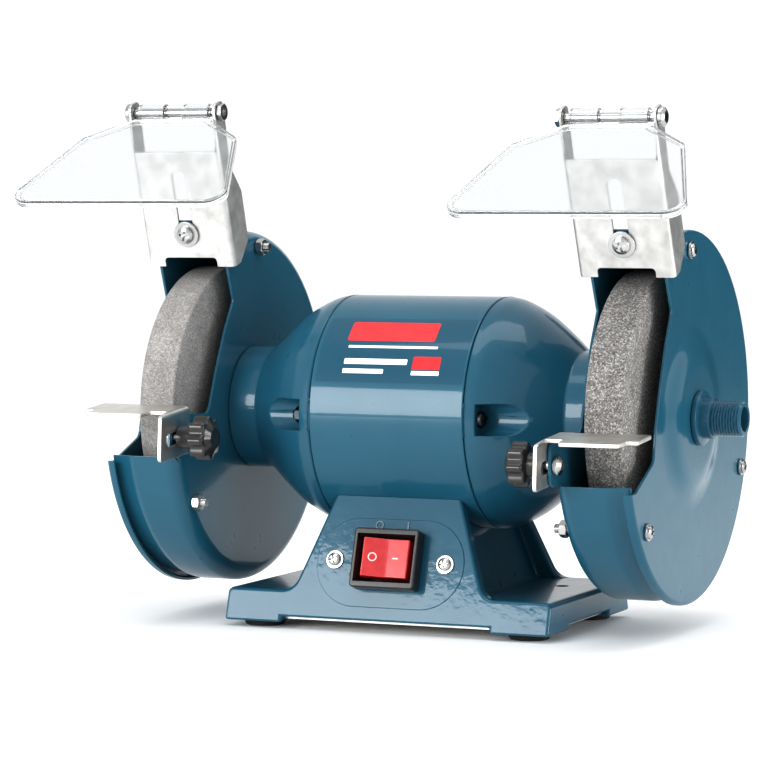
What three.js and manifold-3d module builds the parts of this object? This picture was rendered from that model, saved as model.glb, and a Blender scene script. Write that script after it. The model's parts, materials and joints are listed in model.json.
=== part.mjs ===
// Bench grinder with two 150 mm wheels, an eye shield and a tool rest at each wheel, and a
// threaded outlet for a flexible shaft on its right cover. Millimetres, +Z up. The spindle
// runs along X and the operator stands at -Y. Everything is drawn from the bench under the
// motor's middle, and the last lines move the origin under the middle of the overall box.
// Sub-parts are separate solids; mirrored ones are built by one function per side.

import * as THREE from 'three';
import { mergeVertices } from 'three/addons/utils/BufferGeometryUtils.js';
import Module from 'manifold-3d';

const wasm = await Module();
wasm.setup();

// ---------------------------------------------------------------- driving dimensions
const GAP = 0.3; // between touching pieces
const RUN = 0.5; // round a piece that turns or slides
const BITE = 0.3; // joined shapes reach this far into each other
const SHEET = 1.5; // guards, covers and brackets
const TURN = Math.PI * 2;
const SMOOTH = 30; // sides of the large round pieces
const MEDIUM = 16; // sides of the middling ones
const FINE = 8; // sides of the small ones

const SPINDLE_HEIGHT = 110.6;
const WHEEL_RADIUS = 75;
const WHEEL_WIDTH = 20;

const SHELL_RADIUS = 60.3;
const SHELL_HALF = 42.8;
const SHELL_WALL = 2.5;
const BELL_LENGTH = 59.8; // from the shell to the guard
const BELL_WALL = 3.5;
const NECK_RADIUS = 32.6;
const NECK_LENGTH = 18;

const GUARD_ROOM = 18.8; // from the wheel's rim to the guard's outside
const GUARD_WIDTH = 40.6;
const GUARD_CORNER = 8;
const GUARD_TILT = THREE.MathUtils.degToRad(2.5); // left guard turned back, right one forward
const RIM_STEP = 3; // the rim draws in under the cover's lip
const LIP_RISE = 1.7; // the cover's lip stands this far past the guard
const LIP_WIDTH = 4.5;
const HUB_RISE = 4; // the cover's raised middle
const HUB_RADIUS = 30;

const BASE_HALF = 90.3;
const BASE_FRONT = 63.7;
const BASE_REAR = 56;
const BASE_LEAN = Math.atan(0.31); // front and rear panels lean in towards the motor
const BASE_BOTTOM = 3.2; // pads over the bench
const BASE_WALL = 3;
const SKIRT_RISE = 3; // skirt between the pads
const FOOT_TOP = 19.8;
const WAIST_HALF = 35.5; // panel's half width where it meets the shell
const WAIST_DROP = 43.6; // from the spindle down to the panel's waist
const FLARE_HALF = 50; // panel's half width where its flare starts
const FLARE_HEIGHT = 27;
const END_RECESS = 7;
const FLANGE = 7; // front and rear flanges left beside the recessed ends

const SHAFT_RADIUS = 8;
const JOURNAL_RADIUS = 7.5;
const THREAD_RADIUS = 6.2;
const BEARING = { outer: 17.5, ring: 3, width: 11 };
const STATOR = { bore: 27, half: 25 };
const AIR_GAP = 0.5;
const TIE_INSET = 4.3; // tie bolts' middles inside the stator's rim

const PLATE_SIDE = 5.1; // spark bracket past each side of the guard
const PLATE_LENGTH = 62;
const SPARK_ROOM = 7.5; // from a new wheel's rim to the bracket's lower edge
const SPARK_ANGLE = THREE.MathUtils.degToRad(26.7); // of that edge, forward of straight up
const PLATE_LEAN = Math.atan(0.356);
const SLOT_WIDTH = 8;
const SCREW_UP = 18.3; // bracket screw over the plate's lower edge
const HINGE_REACH = [-20.5, 80.3]; // hinge bolt from the bracket's lower edge, Y and Z
const SHIELD_LENGTH = 84;
const SHIELD_FRONT_HALF = 63.5;
const SHIELD_SHOULDER_HALF = 45;
const SHIELD_DROP = THREE.MathUtils.degToRad(33);
const SHIELD_SHEET = 2;
const SHIELD_LIP = 4;

const REST_SHEET = 2;
const CLAMP_REACH = 17; // clamp bolt past the wheel's rim
const CLAMP_DROP = 14.5; // and below the spindle
const REST_DROP = THREE.MathUtils.degToRad(5);
const KNOB_RADIUS = 11.5;

const SWITCH = { width: 36, height: 31, proud: 9, up: 0.5 };
const FOOT_RADIUS = 11;

// Places worked out from them.
const BELL_START = SHELL_HALF + GAP;
const BELL_END = BELL_START + BELL_LENGTH;
const GUARD_IN = BELL_END + GAP; // motor side of the guard's disc
const GUARD_OUT = GUARD_IN + GUARD_WIDTH; // outer side of the cover
const WHEEL_MIDDLE = (GUARD_IN + GUARD_OUT) / 2; // along X, from the motor's middle
const WHEEL_IN = WHEEL_MIDDLE - WHEEL_WIDTH / 2;
const WHEEL_OUT = WHEEL_MIDDLE + WHEEL_WIDTH / 2;
const GUARD_RADIUS = WHEEL_RADIUS + GUARD_ROOM;
const LIP_RADIUS = GUARD_RADIUS + LIP_RISE;
const WAIST_HEIGHT = SPINDLE_HEIGHT - WAIST_DROP;
const STATOR_RADIUS = SHELL_RADIUS - SHELL_WALL - RUN;
const TIE_RADIUS = STATOR_RADIUS - TIE_INSET; // from the spindle
const BEARING_BORE = JOURNAL_RADIUS + GAP;
const SHAFT_HOLE = JOURNAL_RADIUS + 4.5; // in the end bells and guards
const PLATE_WIDTH = GUARD_WIDTH + 2 * PLATE_SIDE;
// Points on the guard as Y, Z from the spindle.
const PLATE_FOOT = [
  -(WHEEL_RADIUS + SPARK_ROOM) * Math.sin(SPARK_ANGLE),
  (WHEEL_RADIUS + SPARK_ROOM) * Math.cos(SPARK_ANGLE),
];
const HINGE_POINT = [PLATE_FOOT[0] + HINGE_REACH[0], PLATE_FOOT[1] + HINGE_REACH[1]];
const CLAMP_POINT = [-WHEEL_RADIUS - CLAMP_REACH, -CLAMP_DROP];

// Screws, by radius.
const PANEL_SCREW = { x: 30.8, head: 4.8, crown: 3.6, washer: 1, shank: 2, height: 2.2, length: 8 };
const CLAMP = { shank: 2.9, head: 5, headLength: 4, reach: 19 };
const BRACKET_SCREW = { shank: 2.4, head: 4.6, headLength: 3.4, washer: 7, washerThick: 1.2, nut: 3.5 };
const GUARD_BOLT = { shank: 2.3, flange: 4.4, head: 3.4, nut: 4.6, nutLength: 4, tail: 3 };
const TIE_BOLT = { shank: 2.4, head: 4.2, headLength: 3, nut: 4.4, nutLength: 3.5, tail: 1.5 };
const HINGE_BOLT = { shank: 2.4, head: 5, headLength: 3.2, nut: 4.8, nutLength: 2.5 };

// ---------------------------------------------------------------- geometry helpers
function clean(geometry) {
  const bare = geometry.index ? geometry.toNonIndexed() : geometry.clone();
  bare.deleteAttribute('normal');
  bare.deleteAttribute('uv');
  const merged = mergeVertices(bare, 1e-4);
  const source = merged.index.array;
  const kept = [];
  for (let i = 0; i < source.length; i += 3) {
    const [a, b, c] = [source[i], source[i + 1], source[i + 2]];
    if (a !== b && b !== c && c !== a) kept.push(a, b, c);
  }
  if (volume(merged.attributes.position, kept) < 0) kept.reverse();
  merged.setIndex(kept);
  return merged;
}

function volume(position, index) {
  const [a, b, c] = [new THREE.Vector3(), new THREE.Vector3(), new THREE.Vector3()];
  let sum = 0;
  for (let i = 0; i < index.length; i += 3) {
    a.fromBufferAttribute(position, index[i]);
    b.fromBufferAttribute(position, index[i + 1]);
    c.fromBufferAttribute(position, index[i + 2]);
    sum += a.dot(b.cross(c));
  }
  return sum;
}

function solid(geometry) {
  const body = clean(geometry);
  return new wasm.Manifold(new wasm.Mesh({
    numProp: 3,
    vertProperties: new Float32Array(body.attributes.position.array),
    triVerts: new Uint32Array(body.index.array),
  }));
}

function geometryOf(manifold) {
  const mesh = manifold.getMesh();
  const geometry = new THREE.BufferGeometry();
  const stride = mesh.numProp;
  const points = new Float32Array((mesh.vertProperties.length / stride) * 3);
  for (let i = 0; i < points.length / 3; i += 1) {
    for (let k = 0; k < 3; k += 1) points[i * 3 + k] = mesh.vertProperties[i * stride + k];
  }
  geometry.setAttribute('position', new THREE.BufferAttribute(points, 3));
  geometry.setIndex(new THREE.BufferAttribute(new Uint32Array(mesh.triVerts), 1));
  return geometry;
}

const combine = (how) => (first, ...more) => geometryOf(
  more.reduce((left, tool) => left[how](solid(tool)), solid(first)),
);
const cut = combine('subtract');
const join = combine('add');
const meet = combine('intersect');

// A polygon's corners as [a, b] pairs; rounded() puts an arc of the given radius at each
// corner that has a third value.
function rounded(corners, steps = 4) {
  const shape = new THREE.Path();
  const count = corners.length;
  corners.forEach((corner, i) => {
    const here = new THREE.Vector2(corner[0], corner[1]);
    const radius = corner[2] || 0;
    if (!radius) {
      if (i === 0) shape.moveTo(here.x, here.y);
      else shape.lineTo(here.x, here.y);
      return;
    }
    const before = new THREE.Vector2(...corners[(i + count - 1) % count].slice(0, 2)).sub(here);
    const after = new THREE.Vector2(...corners[(i + 1) % count].slice(0, 2)).sub(here);
    const half = before.angleTo(after) / 2;
    const reach = Math.min(radius / Math.tan(half), before.length() * 0.49, after.length() * 0.49);
    const start = here.clone().add(before.setLength(reach));
    const end = here.clone().add(after.setLength(reach));
    if (i === 0) shape.moveTo(start.x, start.y);
    else shape.lineTo(start.x, start.y);
    const curve = new THREE.QuadraticBezierCurve(start, here, end);
    curve.getPoints(steps).slice(1).forEach((p) => shape.lineTo(p.x, p.y));
  });
  return new THREE.Shape(shape.getPoints());
}

// Slab of an outline drawn in the plane across an axis, from one place on it to another.
function slabZ(shape, low, high, options = {}) {
  const made = new THREE.ExtrudeGeometry(shape, { depth: high - low, bevelEnabled: false, ...options });
  return made.translate(0, 0, low);
}
// Outline in Y, Z; thickness along X.
function slabX(shape, low, high) {
  return slabZ(shape, low, high).applyMatrix4(new THREE.Matrix4().set(
    0, 0, 1, 0,
    1, 0, 0, 0,
    0, 1, 0, 0,
    0, 0, 0, 1,
  ));
}
// Outline in X, Z; thickness along Y.
function slabY(shape, low, high) {
  return slabZ(shape, -high, -low).rotateX(Math.PI / 2);
}

// Closed ring of [axial, radius] points turned about the X axis.
function turnedX(profile, sides = SMOOTH) {
  const points = [...profile, profile[0]].map(([x, r]) => new THREE.Vector2(r, x));
  return new THREE.LatheGeometry(points, sides).rotateZ(-Math.PI / 2);
}
function rodX(radius, low, high, sides = FINE) {
  return new THREE.CylinderGeometry(radius, radius, high - low, sides)
    .rotateZ(-Math.PI / 2).translate((low + high) / 2, 0, 0);
}
function rodZ(radius, low, high, sides = FINE) {
  return new THREE.CylinderGeometry(radius, radius, high - low, sides)
    .rotateX(Math.PI / 2).translate(0, 0, (low + high) / 2);
}
// Round holes: their flats stand on the stated radius, so a rod of that radius clears them.
function boreX(radius, low = -BASE_HALF * 3, high = BASE_HALF * 3, sides = FINE) {
  return rodX(radius / Math.cos(Math.PI / sides), low, high, sides);
}
function boreZ(radius, low, high, sides = FINE) {
  return rodZ(radius / Math.cos(Math.PI / sides), low, high, sides);
}
function boxAt(width, depth, height, x, y, z) {
  return new THREE.BoxGeometry(width, depth, height).translate(x, y, z);
}
function ringX(outer, inner, low, high, sides = SMOOTH) {
  return turnedX([[low, inner], [high, inner], [high, outer], [low, outer]], sides);
}
function hexX(radius, low, high) {
  return rodX(radius, low, high, 6);
}

// ---------------------------------------------------------------- finishes
const finish = (color, roughness, metalness) => ({ color, roughness, metalness });
const PAINT = finish('#2f6484', 0.25, 0.1);
const ZINC = finish('#c9c9c6', 0.35, 0.9);
const STEEL = finish('#9a9a98', 0.4, 0.9);
const CORE = finish('#5c5f63', 0.5, 0.8);
const COPPER = finish('#a8562c', 0.4, 0.8);
const BLACK = finish('#1c1c1c', 0.45, 0);
const RUBBER = finish('#161616', 0.85, 0);
const CLEAR = finish('#dfe6e8', 0.05, 0);
const RED = finish('#c9302c', 0.25, 0);
const FINE_STONE = finish('#a5a5a3', 0.95, 0);
const COARSE_STONE = finish('#8b8a87', 0.95, 0);
const CAN = finish('#b9bcc0', 0.35, 0.7);

function piece(parent, name, geometry, look) {
  const mesh = new THREE.Mesh(clean(geometry), new THREE.MeshStandardMaterial(look));
  mesh.name = name;
  parent.add(mesh);
  return mesh;
}

// Geometry drawn for the right side, mirrored for the left one.
function sided(geometry, side) {
  return side > 0 ? geometry : geometry.scale(-1, 1, 1);
}
const SIDES = [['left', -1], ['right', 1]];

const grinder = new THREE.Group();
const spindle = new THREE.Group();
spindle.position.z = SPINDLE_HEIGHT;
grinder.add(spindle);

// ---------------------------------------------------------------- base
const lean = Math.tan(BASE_LEAN);
const CAVITY_TOP = WAIST_HEIGHT + 10;

// Side outline of the pedestal in Y, Z, drawn in by an inset all round.
function sideOutline(inset, bottom) {
  const front = -BASE_FRONT + inset;
  const rear = BASE_REAR - inset;
  const rise = CAVITY_TOP - BASE_BOTTOM;
  return rounded([
    [front + (bottom - BASE_BOTTOM) * lean, bottom],
    [rear - (bottom - BASE_BOTTOM) * lean, bottom],
    [rear - rise * lean, CAVITY_TOP],
    [front + rise * lean, CAVITY_TOP],
  ]);
}

// Front outline of the pedestal in X, Z: feet, flare and waist.
function frontOutline(inset, bottom) {
  const top = CAVITY_TOP;
  const taper = (FLARE_HALF - WAIST_HALF) / (WAIST_HEIGHT - FLARE_HEIGHT);
  const waist = WAIST_HALF - taper * (top - WAIST_HEIGHT);
  const half = [
    [BASE_HALF - inset, bottom, 0],
    [BASE_HALF - inset, FOOT_TOP - inset, 3],
    [FLARE_HALF - inset + 3, FOOT_TOP - inset, 9],
    [waist - inset, top, 0],
  ];
  return rounded([...half, ...half.slice().reverse().map(([x, z, r]) => [-x, z, r])]);
}

function pad(x, y, size, top) {
  return boxAt(size, size, top - BASE_BOTTOM, x, y, (top + BASE_BOTTOM) / 2);
}
const PAD_SIZE = 30;
const PAD_X = BASE_HALF - PAD_SIZE / 2 - 1;
const PAD_FRONT = -BASE_FRONT + PAD_SIZE / 2 + 1;
const PAD_REAR = BASE_REAR - PAD_SIZE / 2 - 1;
const FOOT_PLACES = [
  ['front_left', -PAD_X, PAD_FRONT],
  ['front_right', PAD_X, PAD_FRONT],
  ['rear_left', -PAD_X, PAD_REAR],
  ['rear_right', PAD_X, PAD_REAR],
];
const STEM_RADIUS = 3.5;
const STEM_TOP = 9;
const BENCH_HOLE = { radius: 3.5, boss: 7, x: BASE_HALF - 21.3, y: 12 };
const WIRE_HOLE = 5;
const GLAND = { x: 28, z: 34, radius: 8, bore: 4.5 };

// Everything on a leaning panel is drawn with X across, Y up the slope and Z outwards.
function onFront(geometry, z) {
  return geometry.rotateX(Math.PI / 2 - BASE_LEAN)
    .translate(0, -BASE_FRONT + (z - BASE_BOTTOM) * lean, z);
}
function onRear(geometry, x, z) {
  return geometry.rotateX(Math.PI / 2 - BASE_LEAN).rotateZ(Math.PI)
    .translate(x, BASE_REAR - (z - BASE_BOTTOM) * lean, z);
}
const SWITCH_Z = 36;
const SWITCH_BODY = { width: 29, height: 24, depth: 24 };

function baseGeometry() {
  const outer = meet(
    slabY(frontOutline(0, BASE_BOTTOM), -BASE_FRONT, BASE_REAR),
    slabX(sideOutline(0, BASE_BOTTOM), -BASE_HALF, BASE_HALF),
  );
  const wallLine = FLARE_HALF - END_RECESS;
  const waistLine = WAIST_HALF - END_RECESS;
  const ends = [1, -1].map((side) => meet(
    slabY(rounded([
      [side * wallLine, FOOT_TOP],
      [side * BASE_HALF, FOOT_TOP],
      [side * BASE_HALF, CAVITY_TOP],
      [side * waistLine, CAVITY_TOP],
    ]), -BASE_FRONT, BASE_REAR),
    slabX(sideOutline(FLANGE, FOOT_TOP), -BASE_HALF, BASE_HALF),
  ));
  const cavity = meet(
    slabY(rounded([
      [-BASE_HALF + BASE_WALL, BASE_BOTTOM - 1],
      [BASE_HALF - BASE_WALL, BASE_BOTTOM - 1],
      [BASE_HALF - BASE_WALL, FOOT_TOP - BASE_WALL],
      [wallLine - BASE_WALL, FOOT_TOP - BASE_WALL],
      [waistLine - BASE_WALL, CAVITY_TOP],
      [-waistLine + BASE_WALL, CAVITY_TOP],
      [-wallLine + BASE_WALL, FOOT_TOP - BASE_WALL],
      [-BASE_HALF + BASE_WALL, FOOT_TOP - BASE_WALL],
    ]), -BASE_FRONT, BASE_REAR),
    slabX(sideOutline(BASE_WALL, BASE_BOTTOM - 1), -BASE_HALF, BASE_HALF),
  );
  const saddle = boreX(SHELL_RADIUS + GAP, -BASE_HALF, BASE_HALF, SMOOTH).translate(0, 0, SPINDLE_HEIGHT);
  const saddleSkin = boreX(SHELL_RADIUS + GAP + BASE_WALL, -BASE_HALF, BASE_HALF, SMOOTH)
    .translate(0, 0, SPINDLE_HEIGHT);
  const boss = rodZ(BENCH_HOLE.boss, BASE_BOTTOM + SKIRT_RISE, FOOT_TOP - 1);
  let room = cut(cavity, saddleSkin);
  FOOT_PLACES.forEach(([, x, y]) => {
    room = cut(room, pad(x, y, PAD_SIZE, FOOT_TOP));
  });
  [1, -1].forEach((side) => {
    room = cut(room, boss.clone().translate(side * BENCH_HOLE.x, BENCH_HOLE.y, 0));
  });
  const body = cut(outer, ...ends, room, saddle);
  const across = (BASE_HALF - PAD_SIZE - 2) * 2;
  const along = PAD_REAR - PAD_FRONT - PAD_SIZE;
  const opened = cut(
    body,
    boxAt(across, 2 * BASE_REAR + 2 * BASE_FRONT, 2 * SKIRT_RISE, 0, 0, BASE_BOTTOM),
    boxAt(2 * BASE_HALF + 2, along, 2 * SKIRT_RISE, 0, (PAD_FRONT + PAD_REAR) / 2, BASE_BOTTOM),
    onFront(boxAt(SWITCH_BODY.width + 2 * GAP, SWITCH_BODY.height + 2 * GAP, 20, 0, SWITCH.up, 0), SWITCH_Z),
    onRear(boreZ(GLAND.radius + GAP, -10, 10), GLAND.x, GLAND.z),
    rodZ(WIRE_HOLE, 20, SPINDLE_HEIGHT),
  );
  const drills = [];
  FOOT_PLACES.forEach(([, x, y]) => {
    drills.push(boreZ(STEM_RADIUS + GAP, 0, STEM_TOP + 1).translate(x, y, 0));
  });
  [1, -1].forEach((side) => {
    const [x, y] = [side * BENCH_HOLE.x, BENCH_HOLE.y];
    drills.push(boreZ(BENCH_HOLE.radius, 0, FOOT_TOP + 5).translate(x, y, 0));
    const screwHole = boreZ(PANEL_SCREW.shank + GAP, -10, 10);
    drills.push(onFront(screwHole.translate(side * PANEL_SCREW.x, 0, 0), SWITCH_Z));
  });
  return cut(opened, ...drills);
}

function panelScrew(side) {
  const screw = join(
    rodZ(PANEL_SCREW.head, GAP, GAP + PANEL_SCREW.washer),
    rodZ(PANEL_SCREW.crown, GAP + PANEL_SCREW.washer - BITE, GAP + PANEL_SCREW.height),
    rodZ(PANEL_SCREW.shank, -PANEL_SCREW.length, GAP + BITE),
  );
  return onFront(screw.translate(side * PANEL_SCREW.x, 0, 0), SWITCH_Z);
}

function bottomPlate() {
  const clear = BASE_WALL + 1;
  const halfX = BASE_HALF - clear;
  const front = -BASE_FRONT + clear + 2;
  const rear = BASE_REAR - clear - 2;
  const step = PAD_SIZE + 1;
  const inX = PAD_X - step / 2;
  const outline = rounded([
    [-inX, front], [inX, front], [inX, PAD_FRONT + step / 2], [halfX, PAD_FRONT + step / 2],
    [halfX, PAD_REAR - step / 2], [inX, PAD_REAR - step / 2], [inX, rear], [-inX, rear],
    [-inX, PAD_REAR - step / 2], [-halfX, PAD_REAR - step / 2],
    [-halfX, PAD_FRONT + step / 2], [-inX, PAD_FRONT + step / 2],
  ]);
  const low = BASE_BOTTOM + SKIRT_RISE - SHEET;
  const holes = [1, -1].map((side) => boreZ(BENCH_HOLE.boss + RUN, 0, FOOT_TOP)
    .translate(side * BENCH_HOLE.x, BENCH_HOLE.y, 0));
  return cut(slabZ(outline, low, low + SHEET), ...holes);
}

function foot(x, y) {
  const disc = new THREE.CylinderGeometry(FOOT_RADIUS, FOOT_RADIUS - 1, BASE_BOTTOM - GAP, MEDIUM)
    .rotateX(Math.PI / 2).translate(0, 0, (BASE_BOTTOM - GAP) / 2);
  return join(disc, rodZ(STEM_RADIUS, 1, STEM_TOP)).translate(x, y, 0);
}

piece(grinder, 'base', baseGeometry(), PAINT);
piece(grinder, 'bottom_plate', bottomPlate(), ZINC);
FOOT_PLACES.forEach(([name, x, y]) => piece(grinder, `foot_${name}`, foot(x, y), RUBBER));
SIDES.forEach(([name, side]) => piece(grinder, `panel_screw_${name}`, panelScrew(side), ZINC));

// ---------------------------------------------------------------- switch
const WINDOW = { width: 28, height: 21, depth: 16 };
const ROCKER_TILT = THREE.MathUtils.degToRad(11);
const ROCKER_PIVOT = 4; // over the panel
function switchFrame() {
  const face = slabZ(rounded([
    [-SWITCH.width / 2, -SWITCH.height / 2, 2], [SWITCH.width / 2, -SWITCH.height / 2, 2],
    [SWITCH.width / 2, SWITCH.height / 2, 2], [-SWITCH.width / 2, SWITCH.height / 2, 2],
  ]), GAP, SWITCH.proud);
  const { width, height, depth } = SWITCH_BODY;
  const body = boxAt(width, height, depth + 1, 0, 0, (1 - depth) / 2 + BITE);
  const well = slabZ(rounded([
    [-WINDOW.width / 2, -WINDOW.height / 2], [WINDOW.width / 2, -WINDOW.height / 2],
    [WINDOW.width / 2, WINDOW.height / 2], [-WINDOW.width / 2, WINDOW.height / 2],
  ]), SWITCH.proud - WINDOW.depth, SWITCH.proud + 1);
  return onFront(cut(join(face, body), well).translate(0, SWITCH.up, 0), SWITCH_Z);
}
function rocker() {
  const sweep = WINDOW.width / 2 - RUN; // the ends stay inside this circle about the pivot
  const crown = SWITCH.proud - ROCKER_PIVOT;
  const end = (z) => Math.sqrt(sweep * sweep - z * z);
  const outline = rounded([
    [-end(crown + 1.5), crown + 1.5], [-end(1), 1], [-end(3), -3], [0, -6], [end(3), -3],
    [end(1), 1], [end(crown + 1.5), crown + 1.5], [0, crown],
  ]);
  const body = slabY(outline, -WINDOW.height / 2 + RUN, WINDOW.height / 2 - RUN);
  return onFront(body.rotateY(ROCKER_TILT).translate(0, SWITCH.up, ROCKER_PIVOT), SWITCH_Z);
}
piece(grinder, 'switch_frame', switchFrame(), BLACK);
piece(grinder, 'switch_rocker', rocker(), RED);

// ---------------------------------------------------------------- inside the base
const CAPACITOR = { radius: 12, length: 44, y: 12 };
const CAPACITOR_Z = BASE_BOTTOM + SKIRT_RISE + GAP + CAPACITOR.radius;
piece(grinder, 'capacitor', rodX(CAPACITOR.radius, -CAPACITOR.length / 2, CAPACITOR.length / 2, MEDIUM)
  .translate(0, CAPACITOR.y, CAPACITOR_Z), CAN);

function cableGland() {
  const barrel = join(
    rodZ(GLAND.radius, -7, 4),
    rodZ(GLAND.radius + 3, GAP, 5, 6),
    rodZ(GLAND.radius - 1, 4, 9),
  );
  return onRear(cut(barrel, boreZ(GLAND.bore, -20, 30)), GLAND.x, GLAND.z);
}
piece(grinder, 'cable_gland', cableGland(), BLACK);

// ---------------------------------------------------------------- motor
function motorShell() {
  const tube = ringX(SHELL_RADIUS, SHELL_RADIUS - SHELL_WALL, -SHELL_HALF, SHELL_HALF);
  return cut(tube, rodZ(WIRE_HOLE, -SPINDLE_HEIGHT, -SHELL_RADIUS / 2));
}
piece(spindle, 'motor_shell', motorShell(), PAINT);

const POCKET_RADIUS = 8; // channels that the tie bolts' heads sit in
const POCKET_WALL = 2.5;
const POCKET_FLOOR = BELL_START + 6;
const HOUSING = BEARING.outer + GAP + BELL_WALL;
function endBell() {
  const inner = BELL_WALL;
  const neckStart = BELL_END - NECK_LENGTH;
  const dome = [
    [BELL_START, SHELL_RADIUS], [BELL_START + 8, SHELL_RADIUS - 1.6], [BELL_START + 20, SHELL_RADIUS - 7.8],
    [BELL_START + 32, SHELL_RADIUS - 17.2], [neckStart, NECK_RADIUS + 1.6],
  ];
  const hollow = [0, 2, 4].map((i) => [dome[i][0], dome[i][1] - inner - 1.5]).reverse();
  const seat = BELL_END - BELL_WALL - BEARING.width - GAP;
  const profile = [
    ...dome, [neckStart + 1, NECK_RADIUS], [BELL_END, NECK_RADIUS], [BELL_END, SHAFT_HOLE],
    [BELL_END - BELL_WALL, SHAFT_HOLE], [BELL_END - BELL_WALL, BEARING.outer + GAP],
    [seat, BEARING.outer + GAP],
    [seat, HOUSING], [BELL_END - BELL_WALL, HOUSING], [BELL_END - BELL_WALL, NECK_RADIUS - inner],
    ...hollow,
  ];
  const towers = [1, -1].map((way) => rodX(POCKET_RADIUS + POCKET_WALL, BELL_START, neckStart)
    .translate(0, way * TIE_RADIUS, 0));
  const limit = turnedX([
    [BELL_START, 0], ...dome.map(([x, r]) => [x, r - BITE]), [neckStart, 0],
  ]);
  const posts = meet(join(...towers), limit);
  const pockets = [1, -1].flatMap((way) => [
    rodX(POCKET_RADIUS, POCKET_FLOOR, BELL_END).translate(0, way * TIE_RADIUS, 0),
    boxAt(BELL_END - POCKET_FLOOR, SHELL_RADIUS, 2 * POCKET_RADIUS,
      (BELL_END + POCKET_FLOOR) / 2, way * (TIE_RADIUS + SHELL_RADIUS / 2), 0),
    boreX(TIE_BOLT.shank + GAP, 0, BELL_END).translate(0, way * TIE_RADIUS, 0),
  ]);
  return cut(join(turnedX(profile), posts), ...pockets);
}
SIDES.forEach(([name, side]) => piece(spindle, `end_bell_${name}`, sided(endBell(), side), PAINT));

function tieBolt(way) {
  const reach = POCKET_FLOOR + GAP;
  return join(
    rodX(TIE_BOLT.shank, -reach - TIE_BOLT.nutLength - TIE_BOLT.tail, reach + BITE),
    rodX(TIE_BOLT.head, reach, reach + TIE_BOLT.headLength),
    hexX(TIE_BOLT.nut, -reach - TIE_BOLT.nutLength, -reach),
  ).translate(0, way * TIE_RADIUS, 0);
}
[['front', -1], ['rear', 1]].forEach(([name, way]) => {
  piece(spindle, `tie_bolt_${name}`, tieBolt(way), ZINC);
});

const SLOTS = 8;
const SLOT = { middle: STATOR.bore + 10, radius: 5 };
const COIL = { inner: 6, outer: 9, length: 11 }; // from the slots' middles
function statorCore() {
  const holes = [];
  for (let i = 0; i < SLOTS; i += 1) {
    const angle = (i + 0.5) * TURN / SLOTS;
    holes.push(rodX(SLOT.radius, -SHELL_HALF, SHELL_HALF, 6)
      .translate(0, SLOT.middle * Math.cos(angle), SLOT.middle * Math.sin(angle)));
  }
  const notches = [1, -1].map((way) => boreX(TIE_BOLT.shank + 2 * GAP, -SHELL_HALF, SHELL_HALF)
    .translate(0, way * TIE_RADIUS, 0));
  return cut(ringX(STATOR_RADIUS, STATOR.bore, -STATOR.half, STATOR.half), ...holes, ...notches);
}
function statorWinding() {
  const near = STATOR.half + GAP;
  const [inner, outer] = [SLOT.middle - COIL.inner, SLOT.middle + COIL.outer];
  const coil = (low, high) => turnedX([
    [low, inner], [high, inner + 1.5], [high, outer - 3], [low, outer],
  ], MEDIUM);
  let winding = join(coil(near, near + COIL.length), coil(-near, -near - COIL.length));
  for (let i = 0; i < SLOTS; i += 1) {
    const angle = (i + 0.5) * TURN / SLOTS;
    winding = join(winding, rodX(SLOT.radius - GAP, -near - 3, near + 3, 6)
      .translate(0, SLOT.middle * Math.cos(angle), SLOT.middle * Math.sin(angle)));
  }
  return winding;
}
piece(spindle, 'stator_core', statorCore(), CORE);
piece(spindle, 'stator_winding', statorWinding(), COPPER);

const BEARING_START = BELL_END - BELL_WALL - BEARING.width - GAP;
SIDES.forEach(([name, side]) => {
  const low = BEARING_START;
  const high = low + BEARING.width;
  piece(spindle, `bearing_outer_${name}`, sided(ringX(
    BEARING.outer, BEARING.outer - BEARING.ring, low, high, MEDIUM), side), STEEL);
  piece(spindle, `bearing_inner_${name}`, sided(ringX(
    BEARING_BORE + BEARING.ring, BEARING_BORE, low, high, MEDIUM), side), STEEL);
});

// ---------------------------------------------------------------- spindle and wheels
const FLANGE_RADIUS = 25;
const INNER_FLANGE = 5;
const OUTER_FLANGE = 3;
const NUT = { radius: 11, length: 7 };
const END_ROOM = 0.8; // from the spindle's end to the left cover's inside
const SHAFT_END = GUARD_OUT - SHEET + HUB_RISE - END_ROOM;
const DRIVE = { radius: 4.6, length: 7 };
const SHOULDER = WHEEL_IN - GAP - INNER_FLANGE;

function shaft() {
  const journal = BEARING_START - 2;
  const half = [
    [journal - 22, SHAFT_RADIUS], [journal - 22, SHAFT_RADIUS + 2], [journal, SHAFT_RADIUS + 2],
    [journal, JOURNAL_RADIUS], [journal + 15, JOURNAL_RADIUS],
    [SHOULDER - GAP, JOURNAL_RADIUS], [SHOULDER - GAP, THREAD_RADIUS], [SHAFT_END, THREAD_RADIUS],
  ];
  const left = half.map(([x, r]) => [-x, r]).reverse();
  const profile = [
    [-SHAFT_END, 0], ...left, ...half, [SHAFT_END, DRIVE.radius],
    [SHAFT_END + DRIVE.length, DRIVE.radius], [SHAFT_END + DRIVE.length, 0],
  ];
  const points = profile.map(([x, r]) => new THREE.Vector2(r, x));
  return new THREE.LatheGeometry(points, 12).rotateZ(-Math.PI / 2);
}
piece(spindle, 'shaft', shaft(), STEEL);
piece(spindle, 'rotor', ringX(STATOR.bore - AIR_GAP, SHAFT_RADIUS + GAP, -STATOR.half, STATOR.half), CORE);

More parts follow.
